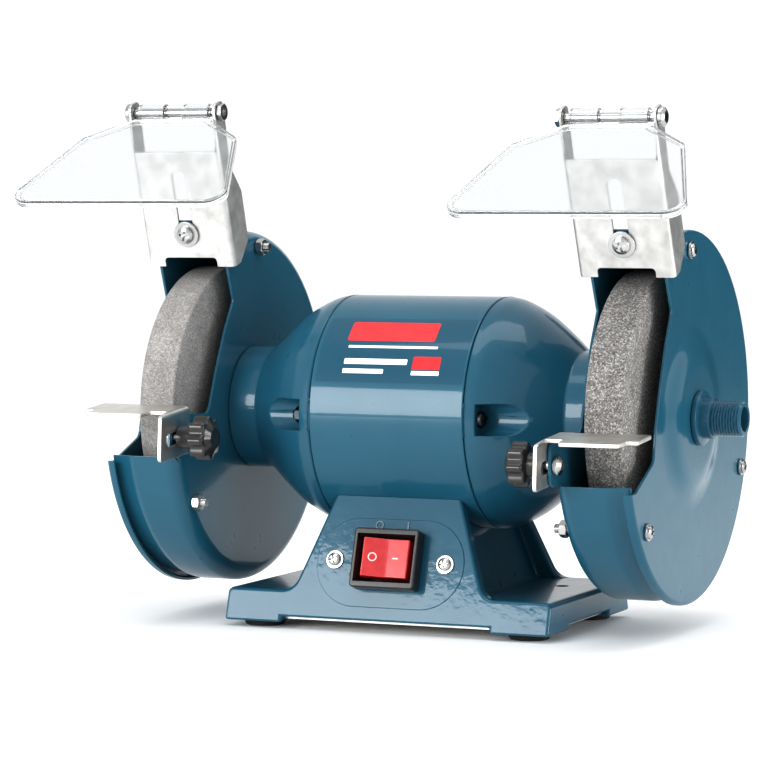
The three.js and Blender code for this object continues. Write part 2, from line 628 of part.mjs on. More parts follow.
function wheel() {
  const bore = THREAD_RADIUS + GAP;
  const dish = 1.2; // paper washer's seat
  return turnedX([
    [WHEEL_IN, bore], [WHEEL_IN, WHEEL_RADIUS - dish], [WHEEL_IN + dish, WHEEL_RADIUS],
    [WHEEL_OUT - dish, WHEEL_RADIUS], [WHEEL_OUT, WHEEL_RADIUS - dish], [WHEEL_OUT, bore],
  ], 40);
}
SIDES.forEach(([name, side]) => {
  const bore = THREAD_RADIUS + GAP;
  piece(spindle, `wheel_${name}`, sided(wheel(), side), side < 0 ? FINE_STONE : COARSE_STONE);
  piece(spindle, `inner_flange_${name}`, sided(turnedX([
    [SHOULDER, bore], [SHOULDER, 14], [WHEEL_IN - 2.6, FLANGE_RADIUS],
    [WHEEL_IN - GAP, FLANGE_RADIUS], [WHEEL_IN - GAP, bore],
  ], MEDIUM), side), ZINC);
  piece(spindle, `outer_flange_${name}`, sided(turnedX([
    [WHEEL_OUT + GAP, bore], [WHEEL_OUT + GAP, FLANGE_RADIUS],
    [WHEEL_OUT + 1.6, FLANGE_RADIUS], [WHEEL_OUT + OUTER_FLANGE, 14], [WHEEL_OUT + OUTER_FLANGE, bore],
  ], MEDIUM), side), ZINC);
  const seat = WHEEL_OUT + OUTER_FLANGE + GAP;
  piece(spindle, `spindle_nut_${name}`, sided(cut(
    hexX(NUT.radius, seat, seat + NUT.length), boreX(bore)), side), STEEL);
});

// ---------------------------------------------------------------- guards
// Opening for the work, in Y and Z from the spindle. The cover's is deeper than the guard's.
// Its upper edge runs up the face of the lug that carries the bracket.
function lugFace(up) {
  const [s, c] = [Math.sin(PLATE_LEAN), Math.cos(PLATE_LEAN)];
  const back = SHEET + GAP;
  return [PLATE_FOOT[0] - up * s + back * c, PLATE_FOOT[1] + up * c + back * s];
}
const OPENING_END = -LIP_RADIUS - 30; // clear of the rim
function openingOutline(floor, floorEnd) {
  return rounded([
    [...lugFace(2), 0], [-27.5, 56, 3], [-37, 40, 0], [-46, 20, 0], [-53.5, 0, 0],
    [-57, floor, 5], [-84, floorEnd, 0], [OPENING_END, floorEnd, 0], [OPENING_END, LIP_RADIUS + 10, 0],
    [...lugFace(40), 0],
  ]);
}
const GUARD_FLOOR = -3;
const BAND_FLOOR = -22;
const BOLT_RING = GUARD_RADIUS - 8.5;
const BOLT_ANGLES = [90, 215, 336].map(THREE.MathUtils.degToRad);
const TAB = { front: -GUARD_RADIUS - 4.2, length: 30, height: 22, corner: 5 }; // for the clamp bolt

// Groups that hold everything carried by one guard, turned about the spindle.
const carriers = {};
SIDES.forEach(([name, side]) => {
  const group = new THREE.Group();
  group.rotation.x = side * GUARD_TILT;
  spindle.add(group);
  carriers[name] = group;
});

function boltHoles(radius) {
  return BOLT_ANGLES.map((angle) => boreX(radius)
    .translate(0, BOLT_RING * Math.cos(angle), BOLT_RING * Math.sin(angle)));
}

// Bracket frame: X across, Y up the plate, Z out of its front, zero at the lower edge.
function onPlate(geometry) {
  return geometry.rotateX(Math.PI / 2 + PLATE_LEAN).translate(WHEEL_MIDDLE, PLATE_FOOT[0], PLATE_FOOT[1]);
}
const LUG = { width: 26, low: 6, high: 25 }; // tab on the guard behind the bracket

function guard() {
  const corner = [0, 45, 90].map((deg) => {
    const a = THREE.MathUtils.degToRad(deg);
    return [GUARD_CORNER * (1 - Math.sin(a)), GUARD_CORNER * (1 - Math.cos(a))];
  });
  const skin = (depth) => [
    ...corner.map(([dx, dr]) => [
      GUARD_IN + depth + dx * (GUARD_CORNER - depth) / GUARD_CORNER,
      GUARD_RADIUS - depth - dr * (GUARD_CORNER - depth) / GUARD_CORNER,
    ]).reverse(),
    [GUARD_IN + 26, GUARD_RADIUS - depth], [GUARD_IN + 33, GUARD_RADIUS - RIM_STEP - depth],
    [GUARD_OUT - SHEET - GAP, GUARD_RADIUS - RIM_STEP - depth],
  ];
  const outerPath = skin(0);
  const innerPath = skin(SHEET).reverse();
  const dish = turnedX([
    [GUARD_IN, SHAFT_HOLE], ...outerPath, ...innerPath, [GUARD_IN + SHEET, SHAFT_HOLE],
  ]);
  const disc = slabX(openingOutline(GUARD_FLOOR, GUARD_FLOOR), 0, GUARD_IN + SHEET + 2);
  const band = slabX(openingOutline(BAND_FLOOR, BAND_FLOOR - 3), GUARD_IN + SHEET, 200);
  const tab = slabX(rounded([
    [TAB.front, GUARD_FLOOR, TAB.corner], [TAB.front, GUARD_FLOOR - TAB.height, TAB.corner],
    [TAB.front + TAB.length, GUARD_FLOOR - TAB.height], [TAB.front + TAB.length, GUARD_FLOOR],
  ]), GUARD_IN, GUARD_IN + SHEET);
  const lug = onPlate(boxAt(LUG.width, LUG.high - LUG.low, SHEET, 0, (LUG.high + LUG.low) / 2,
    -SHEET - GAP - SHEET / 2));
  const clampHole = boreX(CLAMP.shank + RUN).translate(0, ...CLAMP_POINT);
  const screwHole = onPlate(boreZ(BRACKET_SCREW.shank + GAP, -20, 20).translate(0, SCREW_UP, 0));
  const body = join(cut(dish, disc, band), tab, lug);
  return cut(body, ...boltHoles(GUARD_BOLT.shank + GAP), clampHole, screwHole);
}

function guardCover(hubHole) {
  const out = GUARD_OUT;
  const slope = HUB_RADIUS + 12;
  const profile = [
    [out - SHEET + HUB_RISE, hubHole], [out + HUB_RISE, hubHole], [out + HUB_RISE, HUB_RADIUS],
    [out, slope], [out, LIP_RADIUS - 3], [out - 0.9, LIP_RADIUS - 0.9], [out - 3, LIP_RADIUS],
    [out - LIP_WIDTH, LIP_RADIUS], [out - LIP_WIDTH, LIP_RADIUS - SHEET],
    [out - 3, LIP_RADIUS - SHEET], [out - SHEET, LIP_RADIUS - 3],
    [out - SHEET, slope], [out - SHEET + HUB_RISE, HUB_RADIUS],
  ];
  const opening = slabX(openingOutline(BAND_FLOOR + 6, BAND_FLOOR - 6), 0, 200);
  return cut(turnedX(profile), opening, ...boltHoles(GUARD_BOLT.shank + GAP));
}

function guardBolt(angle) {
  const head = GUARD_OUT + GAP;
  const back = GUARD_IN - GAP;
  return join(
    rodX(GUARD_BOLT.shank, back - GUARD_BOLT.nutLength - GUARD_BOLT.tail, head + BITE),
    rodX(GUARD_BOLT.flange, head, head + 1.4),
    rodX(GUARD_BOLT.head, head + 1.4 - BITE, head + 2.7),
    hexX(GUARD_BOLT.nut, back - GUARD_BOLT.nutLength, back),
  ).translate(0, BOLT_RING * Math.cos(angle), BOLT_RING * Math.sin(angle));
}

const COVER_HOLE = 9; // round the drive end, in the right cover only
SIDES.forEach(([name, side]) => {
  const carrier = carriers[name];
  piece(carrier, `guard_${name}`, sided(guard(), side), PAINT);
  piece(carrier, `guard_cover_${name}`, sided(guardCover(side > 0 ? COVER_HOLE : 0), side), PAINT);
  BOLT_ANGLES.forEach((angle, i) => {
    piece(carrier, `guard_bolt_${name}_${i + 1}`, sided(guardBolt(angle), side), ZINC);
  });
});

// Threaded outlet on the right cover, over the spindle's drive end.
const SPIGOT = { thread: 9.2, collar: 10.4, flange: 14, bore: 6.2, length: 24 };
function spigot() {
  const base = GUARD_OUT + HUB_RISE + GAP;
  const tip = base + SPIGOT.length;
  return turnedX([
    [base, SPIGOT.bore], [base, SPIGOT.flange], [base + 2.5, SPIGOT.flange], [base + 3, SPIGOT.collar],
    [base + 8, SPIGOT.collar], [base + 8, SPIGOT.thread], [tip - 1, SPIGOT.thread],
    [tip, SPIGOT.thread - 1], [tip, SPIGOT.bore],
  ], MEDIUM);
}
piece(spindle, 'shaft_outlet', spigot(), PAINT);

// ---------------------------------------------------------------- spark brackets and shields
const NOTCH = { width: 30.5, depth: 5 };
const WING = 20; // the bracket's side wings, front to back
const EAR_RADIUS = 5.5;

// The hinge bolt's middle in the bracket's own frame.
function hingeOnPlate() {
  const [dy, dz] = [HINGE_POINT[0] - PLATE_FOOT[0], HINGE_POINT[1] - PLATE_FOOT[1]];
  const [s, c] = [Math.sin(PLATE_LEAN), Math.cos(PLATE_LEAN)];
  return { up: -dy * s + dz * c, out: -dy * c - dz * s };
}
const HINGE = hingeOnPlate();

function bracket() {
  const half = PLATE_WIDTH / 2;
  const notch = NOTCH.width / 2;
  const plate = slabZ(rounded([
    [-half, 0, 1], [-notch, 0, 1.5], [-notch, NOTCH.depth, 2], [notch, NOTCH.depth, 2], [notch, 0, 1.5],
    [half, 0, 1], [half, PLATE_LENGTH, 0], [-half, PLATE_LENGTH, 0],
  ]), -SHEET, 0);
  const slotLow = SCREW_UP - BRACKET_SCREW.shank - GAP;
  const slotHigh = SCREW_UP + 34;
  const r = SLOT_WIDTH / 2;
  const slot = slabZ(rounded([
    [-r, slotLow, 1], [r, slotLow, 1], [r, slotHigh, r], [-r, slotHigh, r],
  ]), -10, 10);
  const wings = [half - SHEET, -half].map((x) => {
    const wing = rounded([
      [-SHEET, 0, 0], [-8, 0, 3], [-WING, 9, 5], [-WING, 36, 5], [-SHEET - 10, PLATE_LENGTH - 10, 5],
      [HINGE.out - EAR_RADIUS, HINGE.up - 2, 0], [HINGE.out - EAR_RADIUS + 1.6, HINGE.up + 4, 0],
      [HINGE.out, HINGE.up + EAR_RADIUS, 0],
      [HINGE.out + EAR_RADIUS - 1.6, HINGE.up + 4, 0], [HINGE.out + EAR_RADIUS, HINGE.up - 2, 0],
      [0, PLATE_LENGTH, 2], [0, 0, 0],
    ]);
    return slabX(wing, x, x + SHEET).applyMatrix4(new THREE.Matrix4().set(
      1, 0, 0, 0,
      0, 0, 1, 0,
      0, 1, 0, 0,
      0, 0, 0, 1,
    ));
  });
  const eye = boreX(HINGE_BOLT.shank + GAP).translate(0, HINGE.up, HINGE.out);
  return onPlate(cut(join(plate, ...wings), slot, eye));
}

function bracketScrew() {
  const back = -2 * SHEET - 2 * GAP;
  return onPlate(join(
    rodZ(BRACKET_SCREW.shank, back - BRACKET_SCREW.nut - 1, GAP + BRACKET_SCREW.washerThick),
    rodZ(BRACKET_SCREW.washer, GAP, GAP + BRACKET_SCREW.washerThick, MEDIUM),
    rodZ(BRACKET_SCREW.head, GAP + BRACKET_SCREW.washerThick - BITE, GAP + BRACKET_SCREW.headLength),
    rodZ(BRACKET_SCREW.head, back - BRACKET_SCREW.nut, back, 6),
  ).translate(0, SCREW_UP, 0));
}

function hingeBolt() {
  const half = PLATE_WIDTH / 2 + GAP;
  return onPlate(join(
    rodX(HINGE_BOLT.shank, -half - HINGE_BOLT.nutLength - BITE, half + BITE),
    rodX(HINGE_BOLT.head, half, half + HINGE_BOLT.headLength),
    hexX(HINGE_BOLT.nut, -half - HINGE_BOLT.nutLength, -half),
  ).translate(0, HINGE.up, HINGE.out));
}

// Shield frame: X across, Y down the shield's slope from the hinge, Z out of its top.
const KNUCKLE = { radius: 4.6, from: 5.5, play: 3.4 };
const KNUCKLE_LENGTH = PLATE_WIDTH / 2 - SHEET - KNUCKLE.play - KNUCKLE.from;
function shieldGeometry() {
  const start = 6;
  const outline = (inset) => rounded([
    [-22 + inset, start + inset, 0], [22 - inset, start + inset, 0],
    [SHIELD_SHOULDER_HALF - inset, 24, 5], [SHIELD_FRONT_HALF - inset, SHIELD_LENGTH - inset, 9],
    [-SHIELD_FRONT_HALF + inset, SHIELD_LENGTH - inset, 9], [-SHIELD_SHOULDER_HALF + inset, 24, 5],
  ]);
  const skin = slabZ(outline(0), -SHIELD_LIP, 0);
  const hollow = slabZ(outline(SHIELD_SHEET), -SHIELD_LIP - 1, -SHIELD_SHEET);
  const knuckles = [1, -1].map((way) => {
    const near = KNUCKLE.from;
    const far = near + KNUCKLE_LENGTH;
    const [low, high] = way > 0 ? [near, far] : [-far, -near];
    const barrel = rodX(KNUCKLE.radius, low, high, 12);
    const web = boxAt(KNUCKLE_LENGTH, start + 3, SHIELD_SHEET,
      way * (near + far) / 2, (start + 3) / 2, -SHIELD_SHEET / 2);
    return join(barrel, web);
  });
  return cut(join(cut(skin, hollow), ...knuckles), boreX(HINGE_BOLT.shank + GAP));
}

// Places the shield at its hinge with the same slope to the bench on both sides.
function placedShield(side) {
  const slope = SHIELD_DROP - side * GUARD_TILT;
  const turned = shieldGeometry().applyMatrix4(new THREE.Matrix4().set(
    1, 0, 0, 0,
    0, -Math.cos(slope), -Math.sin(slope), 0,
    0, -Math.sin(slope), Math.cos(slope), 0,
    0, 0, 0, 1,
  ));
  return turned.translate(WHEEL_MIDDLE, ...HINGE_POINT);
}

SIDES.forEach(([name, side]) => {
  const carrier = carriers[name];
  piece(carrier, `spark_bracket_${name}`, sided(bracket(), side), ZINC);
  piece(carrier, `bracket_screw_${name}`, sided(bracketScrew(), side), ZINC);
  piece(carrier, `hinge_bolt_${name}`, sided(hingeBolt(), side), ZINC);
  piece(carrier, `eye_shield_${name}`, sided(placedShield(side), side), CLEAR);
});

// ---------------------------------------------------------------- tool rests
const REST = { drop: 24.4, tongueBack: 10, reach: 50, tongueIn: 12.7, tongueOut: 43.4 };
const REST_FRONT = -WHEEL_RADIUS - 35.4;
const REST_REAR = -WHEEL_RADIUS - 4;
const REST_SLOT = { front: CLAMP_POINT[0] - 14, rear: CLAMP_POINT[0] + 8, half: CLAMP.shank + RUN };
const REST_IN = GUARD_IN - GAP - REST_SHEET;

function toolRest() {
  const flange = slabX(rounded([
    [REST_FRONT + REST.tongueBack, 0, 0], [REST_FRONT, -1.5, 2], [REST_FRONT - 3.5, -REST.drop, 2],
    [REST_REAR - 1, -REST.drop, 3], [REST_REAR, 0, 0],
  ]), REST_IN, REST_IN + REST_SHEET);
  const back = REST_FRONT + REST.tongueBack;
  const edge = -WHEEL_RADIUS - 3;
  const flat = slabZ(rounded([
    [REST_IN, back, 0], [REST_IN + REST.tongueIn - 1, back, 1], [REST_IN + REST.tongueIn, REST_FRONT, 1.5],
    [REST_IN + REST.tongueOut, REST_FRONT, 1.5], [REST_IN + REST.tongueOut + 1, back, 1],
    [REST_IN + REST.reach, back, 1], [REST_IN + REST.reach, REST_REAR, 2],
    [WHEEL_OUT + 3, REST_REAR, 1], [WHEEL_OUT + 2.5, edge - 2, 1], [WHEEL_IN - 2.5, edge - 2, 1],
    [WHEEL_IN - 3, REST_REAR, 1], [REST_IN, REST_REAR, 0],
  ], 2), -REST_SHEET, 0);
  const [low, high] = [CLAMP_POINT[1] - REST_SLOT.half, CLAMP_POINT[1] + REST_SLOT.half];
  const slot = slabX(rounded([
    [REST_SLOT.front, low, 3], [REST_SLOT.rear, low, 3],
    [REST_SLOT.rear, high, 3], [REST_SLOT.front, high, 3],
  ]), 0, 200);
  return cut(join(flange, flat), slot);
}

function clampBolt() {
  const inside = GUARD_IN + SHEET + GAP;
  return join(
    rodX(CLAMP.shank, GUARD_IN - CLAMP.reach, inside + BITE),
    turnedX([
      [inside, 0], [inside, CLAMP.head], [inside + CLAMP.headLength / 2, CLAMP.head],
      [inside + CLAMP.headLength - 0.4, 3], [inside + CLAMP.headLength, 0],
    ], FINE),
  ).translate(0, ...CLAMP_POINT);
}

function knob() {
  const hub = REST_IN - GAP;
  const points = [];
  const lobes = 8;
  const steps = lobes * 4;
  for (let i = 0; i < steps; i += 1) {
    const angle = i * TURN / steps;
    const r = KNOB_RADIUS - 1.1 + 1.1 * Math.cos(lobes * angle);
    points.push(new THREE.Vector2(r * Math.cos(angle), r * Math.sin(angle)));
  }
  const star = slabX(new THREE.Shape(points), hub - 18, hub - 9);
  const body = join(
    star,
    rodX(5.6, hub - 10, hub, 12),
    turnedX([[hub - 21, 0], [hub - 20.4, 5.5], [hub - 17.9, 9.4], [hub - 17.9, 0]], MEDIUM),
  );
  return cut(body, boreX(CLAMP.shank + GAP, hub - 17.5, hub + 5)).translate(0, ...CLAMP_POINT);
}

// The rest leans forward about its clamp bolt by the same slope to the bench on both sides.
SIDES.forEach(([name, side]) => {
  const group = new THREE.Group();
  const lowered = REST_DROP - side * GUARD_TILT;
  const pivot = new THREE.Vector3(0, ...CLAMP_POINT);
  const turn = new THREE.Matrix4().makeRotationX(lowered);
  const place = new THREE.Matrix4().makeTranslation(pivot.x, pivot.y, pivot.z)
    .multiply(turn).multiply(new THREE.Matrix4().makeTranslation(-pivot.x, -pivot.y, -pivot.z));
  place.decompose(group.position, group.quaternion, group.scale);
  carriers[name].add(group);
  piece(group, `tool_rest_${name}`, sided(toolRest(), side), ZINC);
  piece(group, `clamp_bolt_${name}`, sided(clampBolt(), side), ZINC);
  piece(group, `clamp_knob_${name}`, sided(knob(), side), BLACK);
});

// The origin: on the bench, under the middle of the overall box.
const overall = new THREE.Box3().setFromObject(grinder, true);
grinder.position.y = -(overall.min.y + overall.max.y) / 2;

export default grinder;
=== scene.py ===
# %% [markdown]
# # A bench grinder, built piece by piece
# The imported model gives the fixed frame: where every body, hinge and slide is. Its solids are
# faceted, because they are made for fitting and for motion. Here each piece that can be seen is
# made again at the same place with fine curves, rounded edges and a finish of its own.

# %% Load the frame
import json
import math

import bmesh
import bpy
from mathutils import Matrix, Vector


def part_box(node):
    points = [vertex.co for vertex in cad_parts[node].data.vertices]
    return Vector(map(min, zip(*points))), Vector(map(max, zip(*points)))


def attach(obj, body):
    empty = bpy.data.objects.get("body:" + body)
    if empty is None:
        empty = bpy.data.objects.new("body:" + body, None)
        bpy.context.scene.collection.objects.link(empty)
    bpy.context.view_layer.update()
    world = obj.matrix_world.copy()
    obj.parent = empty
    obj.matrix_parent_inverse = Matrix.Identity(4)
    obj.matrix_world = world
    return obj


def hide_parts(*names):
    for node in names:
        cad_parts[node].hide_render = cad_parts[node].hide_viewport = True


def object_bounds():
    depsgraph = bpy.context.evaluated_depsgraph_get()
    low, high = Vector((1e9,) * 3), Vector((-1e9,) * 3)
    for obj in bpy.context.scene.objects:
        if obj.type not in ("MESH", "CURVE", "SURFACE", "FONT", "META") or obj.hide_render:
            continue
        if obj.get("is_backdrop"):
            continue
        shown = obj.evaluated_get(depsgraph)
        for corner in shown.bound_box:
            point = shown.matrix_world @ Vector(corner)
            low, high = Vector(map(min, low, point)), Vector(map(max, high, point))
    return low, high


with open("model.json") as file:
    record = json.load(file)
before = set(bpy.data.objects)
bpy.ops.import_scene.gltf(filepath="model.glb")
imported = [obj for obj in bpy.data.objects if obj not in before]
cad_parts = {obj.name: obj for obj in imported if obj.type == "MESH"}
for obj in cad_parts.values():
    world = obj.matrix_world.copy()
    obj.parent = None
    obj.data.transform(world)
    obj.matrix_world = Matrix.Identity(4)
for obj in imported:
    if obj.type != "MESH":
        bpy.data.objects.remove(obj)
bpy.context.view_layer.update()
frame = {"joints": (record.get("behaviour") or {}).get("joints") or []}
scene = bpy.context.scene

# %% [markdown]
# ## Places and sizes
# Workshop drawings are in millimetres and Blender works in metres, so lengths are written in
# millimetres and turned to metres where a mesh is made. The main places come from the packed
# solids and joints. A piece on a guard is drawn from the spindle, then turned with that guard:
# the left guard leans back and the right one forward by 2.5 degrees.

# %% Places from the frame
MM = 0.001
JOINTS = {joint["name"]: joint for joint in frame["joints"]}
SPINDLE_Y, SPINDLE = (x / MM for x in JOINTS["spindle_spin"]["pos_m"][1:])


def span(node):
    """Lowest and highest corner of a node in millimetres."""
    low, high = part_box(node)
    return low / MM, high / MM


GUARD_IN = span("guard_right")[0].x
GUARD_WIDTH = 40.6
GUARD_OUT = GUARD_IN + GUARD_WIDTH
WHEEL_IN, WHEEL_OUT = span("wheel_right")[0].x, span("wheel_right")[1].x
WHEEL_MIDDLE = (WHEEL_IN + WHEEL_OUT) / 2
WHEEL_RADIUS = span("wheel_right")[1].z - SPINDLE
SHELL_HALF = span("motor_shell")[1].x
BELL_START, BELL_END = span("end_bell_right")[0].x, span("end_bell_right")[1].x
GUARD_TILT = math.radians(2.5)
SIDES = (("left", -1), ("right", 1))
GAP = 0.3
SHEET = 1.5
print("spindle height", round(SPINDLE, 1), "wheel middles at", round(WHEEL_MIDDLE, 1))

# %% [markdown]
# ## Camera
# A long lens far away keeps the two wheels nearly the same size, as a catalogue view does. The
# camera stands to the right and a little above the spindle. It turns a hair about its own line
# of sight, so that the bench runs level in the view.

# %% Set the camera
AZIMUTH, ELEVATION, ROLL = (math.radians(x) for x in (24.101, 3.383, -0.128))
DISTANCE, LENS = 1767.2, 158.26
aim = Vector((-29.55, SPINDLE_Y, 125.99)) * MM
away = Vector((
    math.sin(AZIMUTH) * math.cos(ELEVATION),
    -math.cos(AZIMUTH) * math.cos(ELEVATION),
    math.sin(ELEVATION),
))
lens = bpy.data.cameras.new("camera")
lens.lens = LENS
lens.sensor_width = 36
camera = bpy.data.objects.new("camera", lens)
scene.collection.objects.link(camera)
camera.location = aim + away * DISTANCE * MM
camera.rotation_mode = "QUATERNION"
camera.rotation_quaternion = (
    (-away).to_track_quat("-Z", "Y") @ Matrix.Rotation(ROLL, 3, "Z").to_quaternion()
)
lens.clip_start, lens.clip_end = 0.01, 50
scene.camera = camera
print("camera at", [round(x, 3) for x in camera.location])

# %% [markdown]
# ## Mesh helpers
# Most pieces of a machine are turned, folded from sheet, or cast. Three starting shapes cover
# them: a ring of points turned about the spindle's line, an outline pulled straight, and what
# is left when one of them is cut from another. A true arc at each corner of an outline does
# for sheet metal what a press tool does.

# %% Outlines


def rounded(points, steps=6):
    """An outline's points, with an arc wherever a point has a radius as third value."""
    made = []
    for i, point in enumerate(points):
        here = Vector(point[:2])
        radius = point[2] if len(point) > 2 else 0
        if not radius:
            made.append(tuple(here))
            continue
        before = Vector(points[i - 1][:2]) - here
        after = Vector(points[(i + 1) % len(points)][:2]) - here
        half = before.angle(after) / 2
        reach = min(radius / math.tan(half), before.length * 0.49, after.length * 0.49)
        size = reach * math.tan(half)
        middle = here + (before.normalized() + after.normalized()).normalized() * (
            size / math.sin(half)
        )
        first = here + before.normalized() * reach - middle
        last = here + after.normalized() * reach - middle
        angle = math.atan2(first.y, first.x)
        sweep = math.atan2(last.y, last.x) - angle
        sweep = (sweep + math.pi) % (2 * math.pi) - math.pi
        for k in range(steps + 1):
            a = angle + sweep * k / steps
            made.append((middle.x + size * math.cos(a), middle.y + size * math.sin(a)))
    return made


def box_outline(left, low, right, high, radius=0):
    return [(left, low, radius), (right, low, radius), (right, high, radius), (left, high, radius)]


def circle(radius, steps=64, a=0.0, b=0.0):
    turns = [2 * math.pi * k / steps for k in range(steps)]
    return [(a + radius * math.cos(t), b + radius * math.sin(t)) for t in turns]


# %% Starting shapes


def piece_of(name, bm):
    """An object from a bmesh in metres, with its faces pointing out."""
    bmesh.ops.remove_doubles(bm, verts=bm.verts, dist=1e-6)
    bmesh.ops.recalc_face_normals(bm, faces=bm.faces)
    mesh = bpy.data.meshes.new(name)
    bm.to_mesh(mesh)
    bm.free()
    piece = bpy.data.objects.new(name, mesh)
    scene.collection.objects.link(piece)
    return piece


def turned(name, profile, steps=96, swell=None):
    """A closed ring of (along, radius) points turned about the X axis.
    swell(along, radius, angle) may give another radius, for flutes and threads."""
    bm = bmesh.new()
    rings = []
    for i in range(steps):
        angle = 2 * math.pi * i / steps
        ring = []
        for along, radius in profile:
            r = swell(along, radius, angle) if swell else radius
            ring.append(bm.verts.new(
                (along * MM, r * math.cos(angle) * MM, r * math.sin(angle) * MM)
            ))
        rings.append(ring)
    count = len(profile)
    for i in range(steps):
        here, there = rings[i], rings[(i + 1) % steps]
        for k in range(count):
            n = (k + 1) % count
            if profile[k][1] == 0 and profile[n][1] == 0:
                continue
            bm.faces.new((here[k], here[n], there[n], there[k]))
    return piece_of(name, bm)


def slab(name, outline, low, high, along="Z"):
    """An outline pulled straight along an axis. Along X it is drawn in (Y, Z), along Y in (X, Z)."""
    order = {
        "X": lambda a, b, h: (h, a, b),
        "Y": lambda a, b, h: (a, h, b),
        "Z": lambda a, b, h: (a, b, h),
    }[along]
    bm = bmesh.new()
    rings = [
        [bm.verts.new(Vector(order(a, b, h)) * MM) for a, b in outline] for h in (low, high)
    ]
    bm.faces.new(rings[0])
    bm.faces.new(rings[1])
    for k in range(len(outline)):
        n = (k + 1) % len(outline)
        bm.faces.new((rings[0][k], rings[0][n], rings[1][n], rings[1][k]))
    return piece_of(name, bm)


def rod(name, radius, low, high, along="Z", steps=48):
    return slab(name, circle(radius, steps), low, high, along)


def block(name, size, middle):
    outline = box_outline(
        middle[0] - size[0] / 2, middle[1] - size[1] / 2,
        middle[0] + size[0] / 2, middle[1] + size[1] / 2,
    )
    return slab(name, [p[:2] for p in outline], middle[2] - size[2] / 2, middle[2] + size[2] / 2)


# %% [markdown]
# Cuts use the manifold boolean solver, which keeps every piece closed. Sharp edges catch no light, so
# a small bevel follows each cut. Last, weighted normals keep the flats looking flat beside the
# bevels.

# %% Cutting, rounding and moving


def settle(piece):
    """Makes what the modifiers show the piece's own mesh."""
    shown = piece.evaluated_get(bpy.context.evaluated_depsgraph_get())
    mesh = bpy.data.meshes.new_from_object(shown)
    piece.modifiers.clear()
    piece.data = mesh
    return piece


def combine(piece, tools, how):
    for tool in tools:
        step = piece.modifiers.new(how.lower(), "BOOLEAN")
        step.operation, step.solver, step.object = how, "MANIFOLD", tool
        settle(piece)
        bpy.data.objects.remove(tool)
    return piece


def cut(piece, *tools):
    return combine(piece, tools, "DIFFERENCE")


def join(piece, *tools):
    return combine(piece, tools, "UNION")


def meet(piece, *tools):
    return combine(piece, tools, "INTERSECT")


def soften(piece, width, steps=3, angle=34):
    """Rounds every edge sharper than the angle."""
    bm = bmesh.new()
    bm.from_mesh(piece.data)
    bmesh.ops.remove_doubles(bm, verts=bm.verts, dist=0.02 * MM)
    bmesh.ops.dissolve_degenerate(bm, edges=bm.edges, dist=0.02 * MM)
    bmesh.ops.dissolve_limit(bm, angle_limit=math.radians(0.4), verts=bm.verts, edges=bm.edges)
    bm.to_mesh(piece.data)
    bm.free()
    edges = piece.modifiers.new("edges", "BEVEL")
    edges.width, edges.segments = width * MM, steps
    edges.limit_method, edges.angle_limit = "ANGLE", math.radians(angle)
    edges.use_clamp_overlap = False
    return settle(piece)


def moved(piece, matrix):
    """Moves the mesh itself, by a matrix in millimetres."""
    metres = matrix.copy()
    metres.translation = metres.translation * MM
    piece.data.transform(metres)
    if metres.determinant() < 0:
        piece.data.flip_normals()
    return piece


def shift(x=0.0, y=0.0, z=0.0):
    return Matrix.Translation((x, y, z))


def turn(axis, angle):
    return Matrix.Rotation(angle, 4, axis)


def copy_of(piece, name):
    twin = piece.copy()
    twin.data = piece.data.copy()
    twin.name = twin.data.name = name
    scene.collection.objects.link(twin)
    return twin


MIRROR = Matrix.Scale(-1, 4, (1, 0, 0))
AT_MOTOR = shift(y=SPINDLE_Y)  # for pieces drawn from the bench under the motor
AT_SPINDLE = shift(y=SPINDLE_Y, z=SPINDLE)


def for_side(piece, side, on_guard=True):
    """Takes a right-hand piece drawn from the spindle to its place on either side."""
    if side < 0:
        moved(piece, MIRROR)
    lean = turn("X", side * GUARD_TILT) if on_guard else Matrix.Identity(4)
    return moved(piece, AT_SPINDLE @ lean)


made = []


def finish(piece, name, body, look, replaces=()):
    """Names, shades and paints a piece, and hangs it on its body."""
    piece.name = piece.data.name = name
    piece.data.shade_smooth()
    piece.data.set_sharp_from_angle(angle=math.radians(50))
    flats = piece.modifiers.new("flats", "WEIGHTED_NORMAL")
    flats.keep_sharp = True
    piece.data.materials.clear()
    piece.data.materials.append(look)
    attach(piece, body)
    nodes = (replaces,) if isinstance(replaces, str) else replaces
    if nodes:
        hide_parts(*nodes)
    made.append(name)
    return piece


# %% [markdown]
# ## Finishes
# Each finish starts from what the real surface is. A procedural material needs a ruler, so
# every pattern reads the piece's own coordinates multiplied up to millimetres. A noise of scale
# one over two then has lumps two millimetres wide, whatever the size of the piece.

# %% Colours and nodes


def colour(hexed):
    """An sRGB hex colour as the linear one that shaders use."""
    channels = [int(hexed[i:i + 2], 16) / 255 for i in (1, 3, 5)]
    linear = [c / 12.92 if c <= 0.04045 else ((c + 0.055) / 1.055) ** 2.4 for c in channels]
    return (*linear, 1.0)


def feed(tree, node, inputs):
    """Gives sockets a value, or joins them to a socket or to the first output of a node."""
    for key, value in dict(inputs).items():
        if isinstance(value, bpy.types.Node):
            value = value.outputs[0]
        if isinstance(value, bpy.types.NodeSocket):
            tree.links.new(value, node.inputs[key])
        else:
            node.inputs[key].default_value = value


def add(tree, kind, inputs=(), **settings):
    """A new node with its settings and its inputs."""
    node = tree.nodes.new(kind)
    for key, value in settings.items():
        setattr(node, key, value)
    feed(tree, node, inputs)
    return node


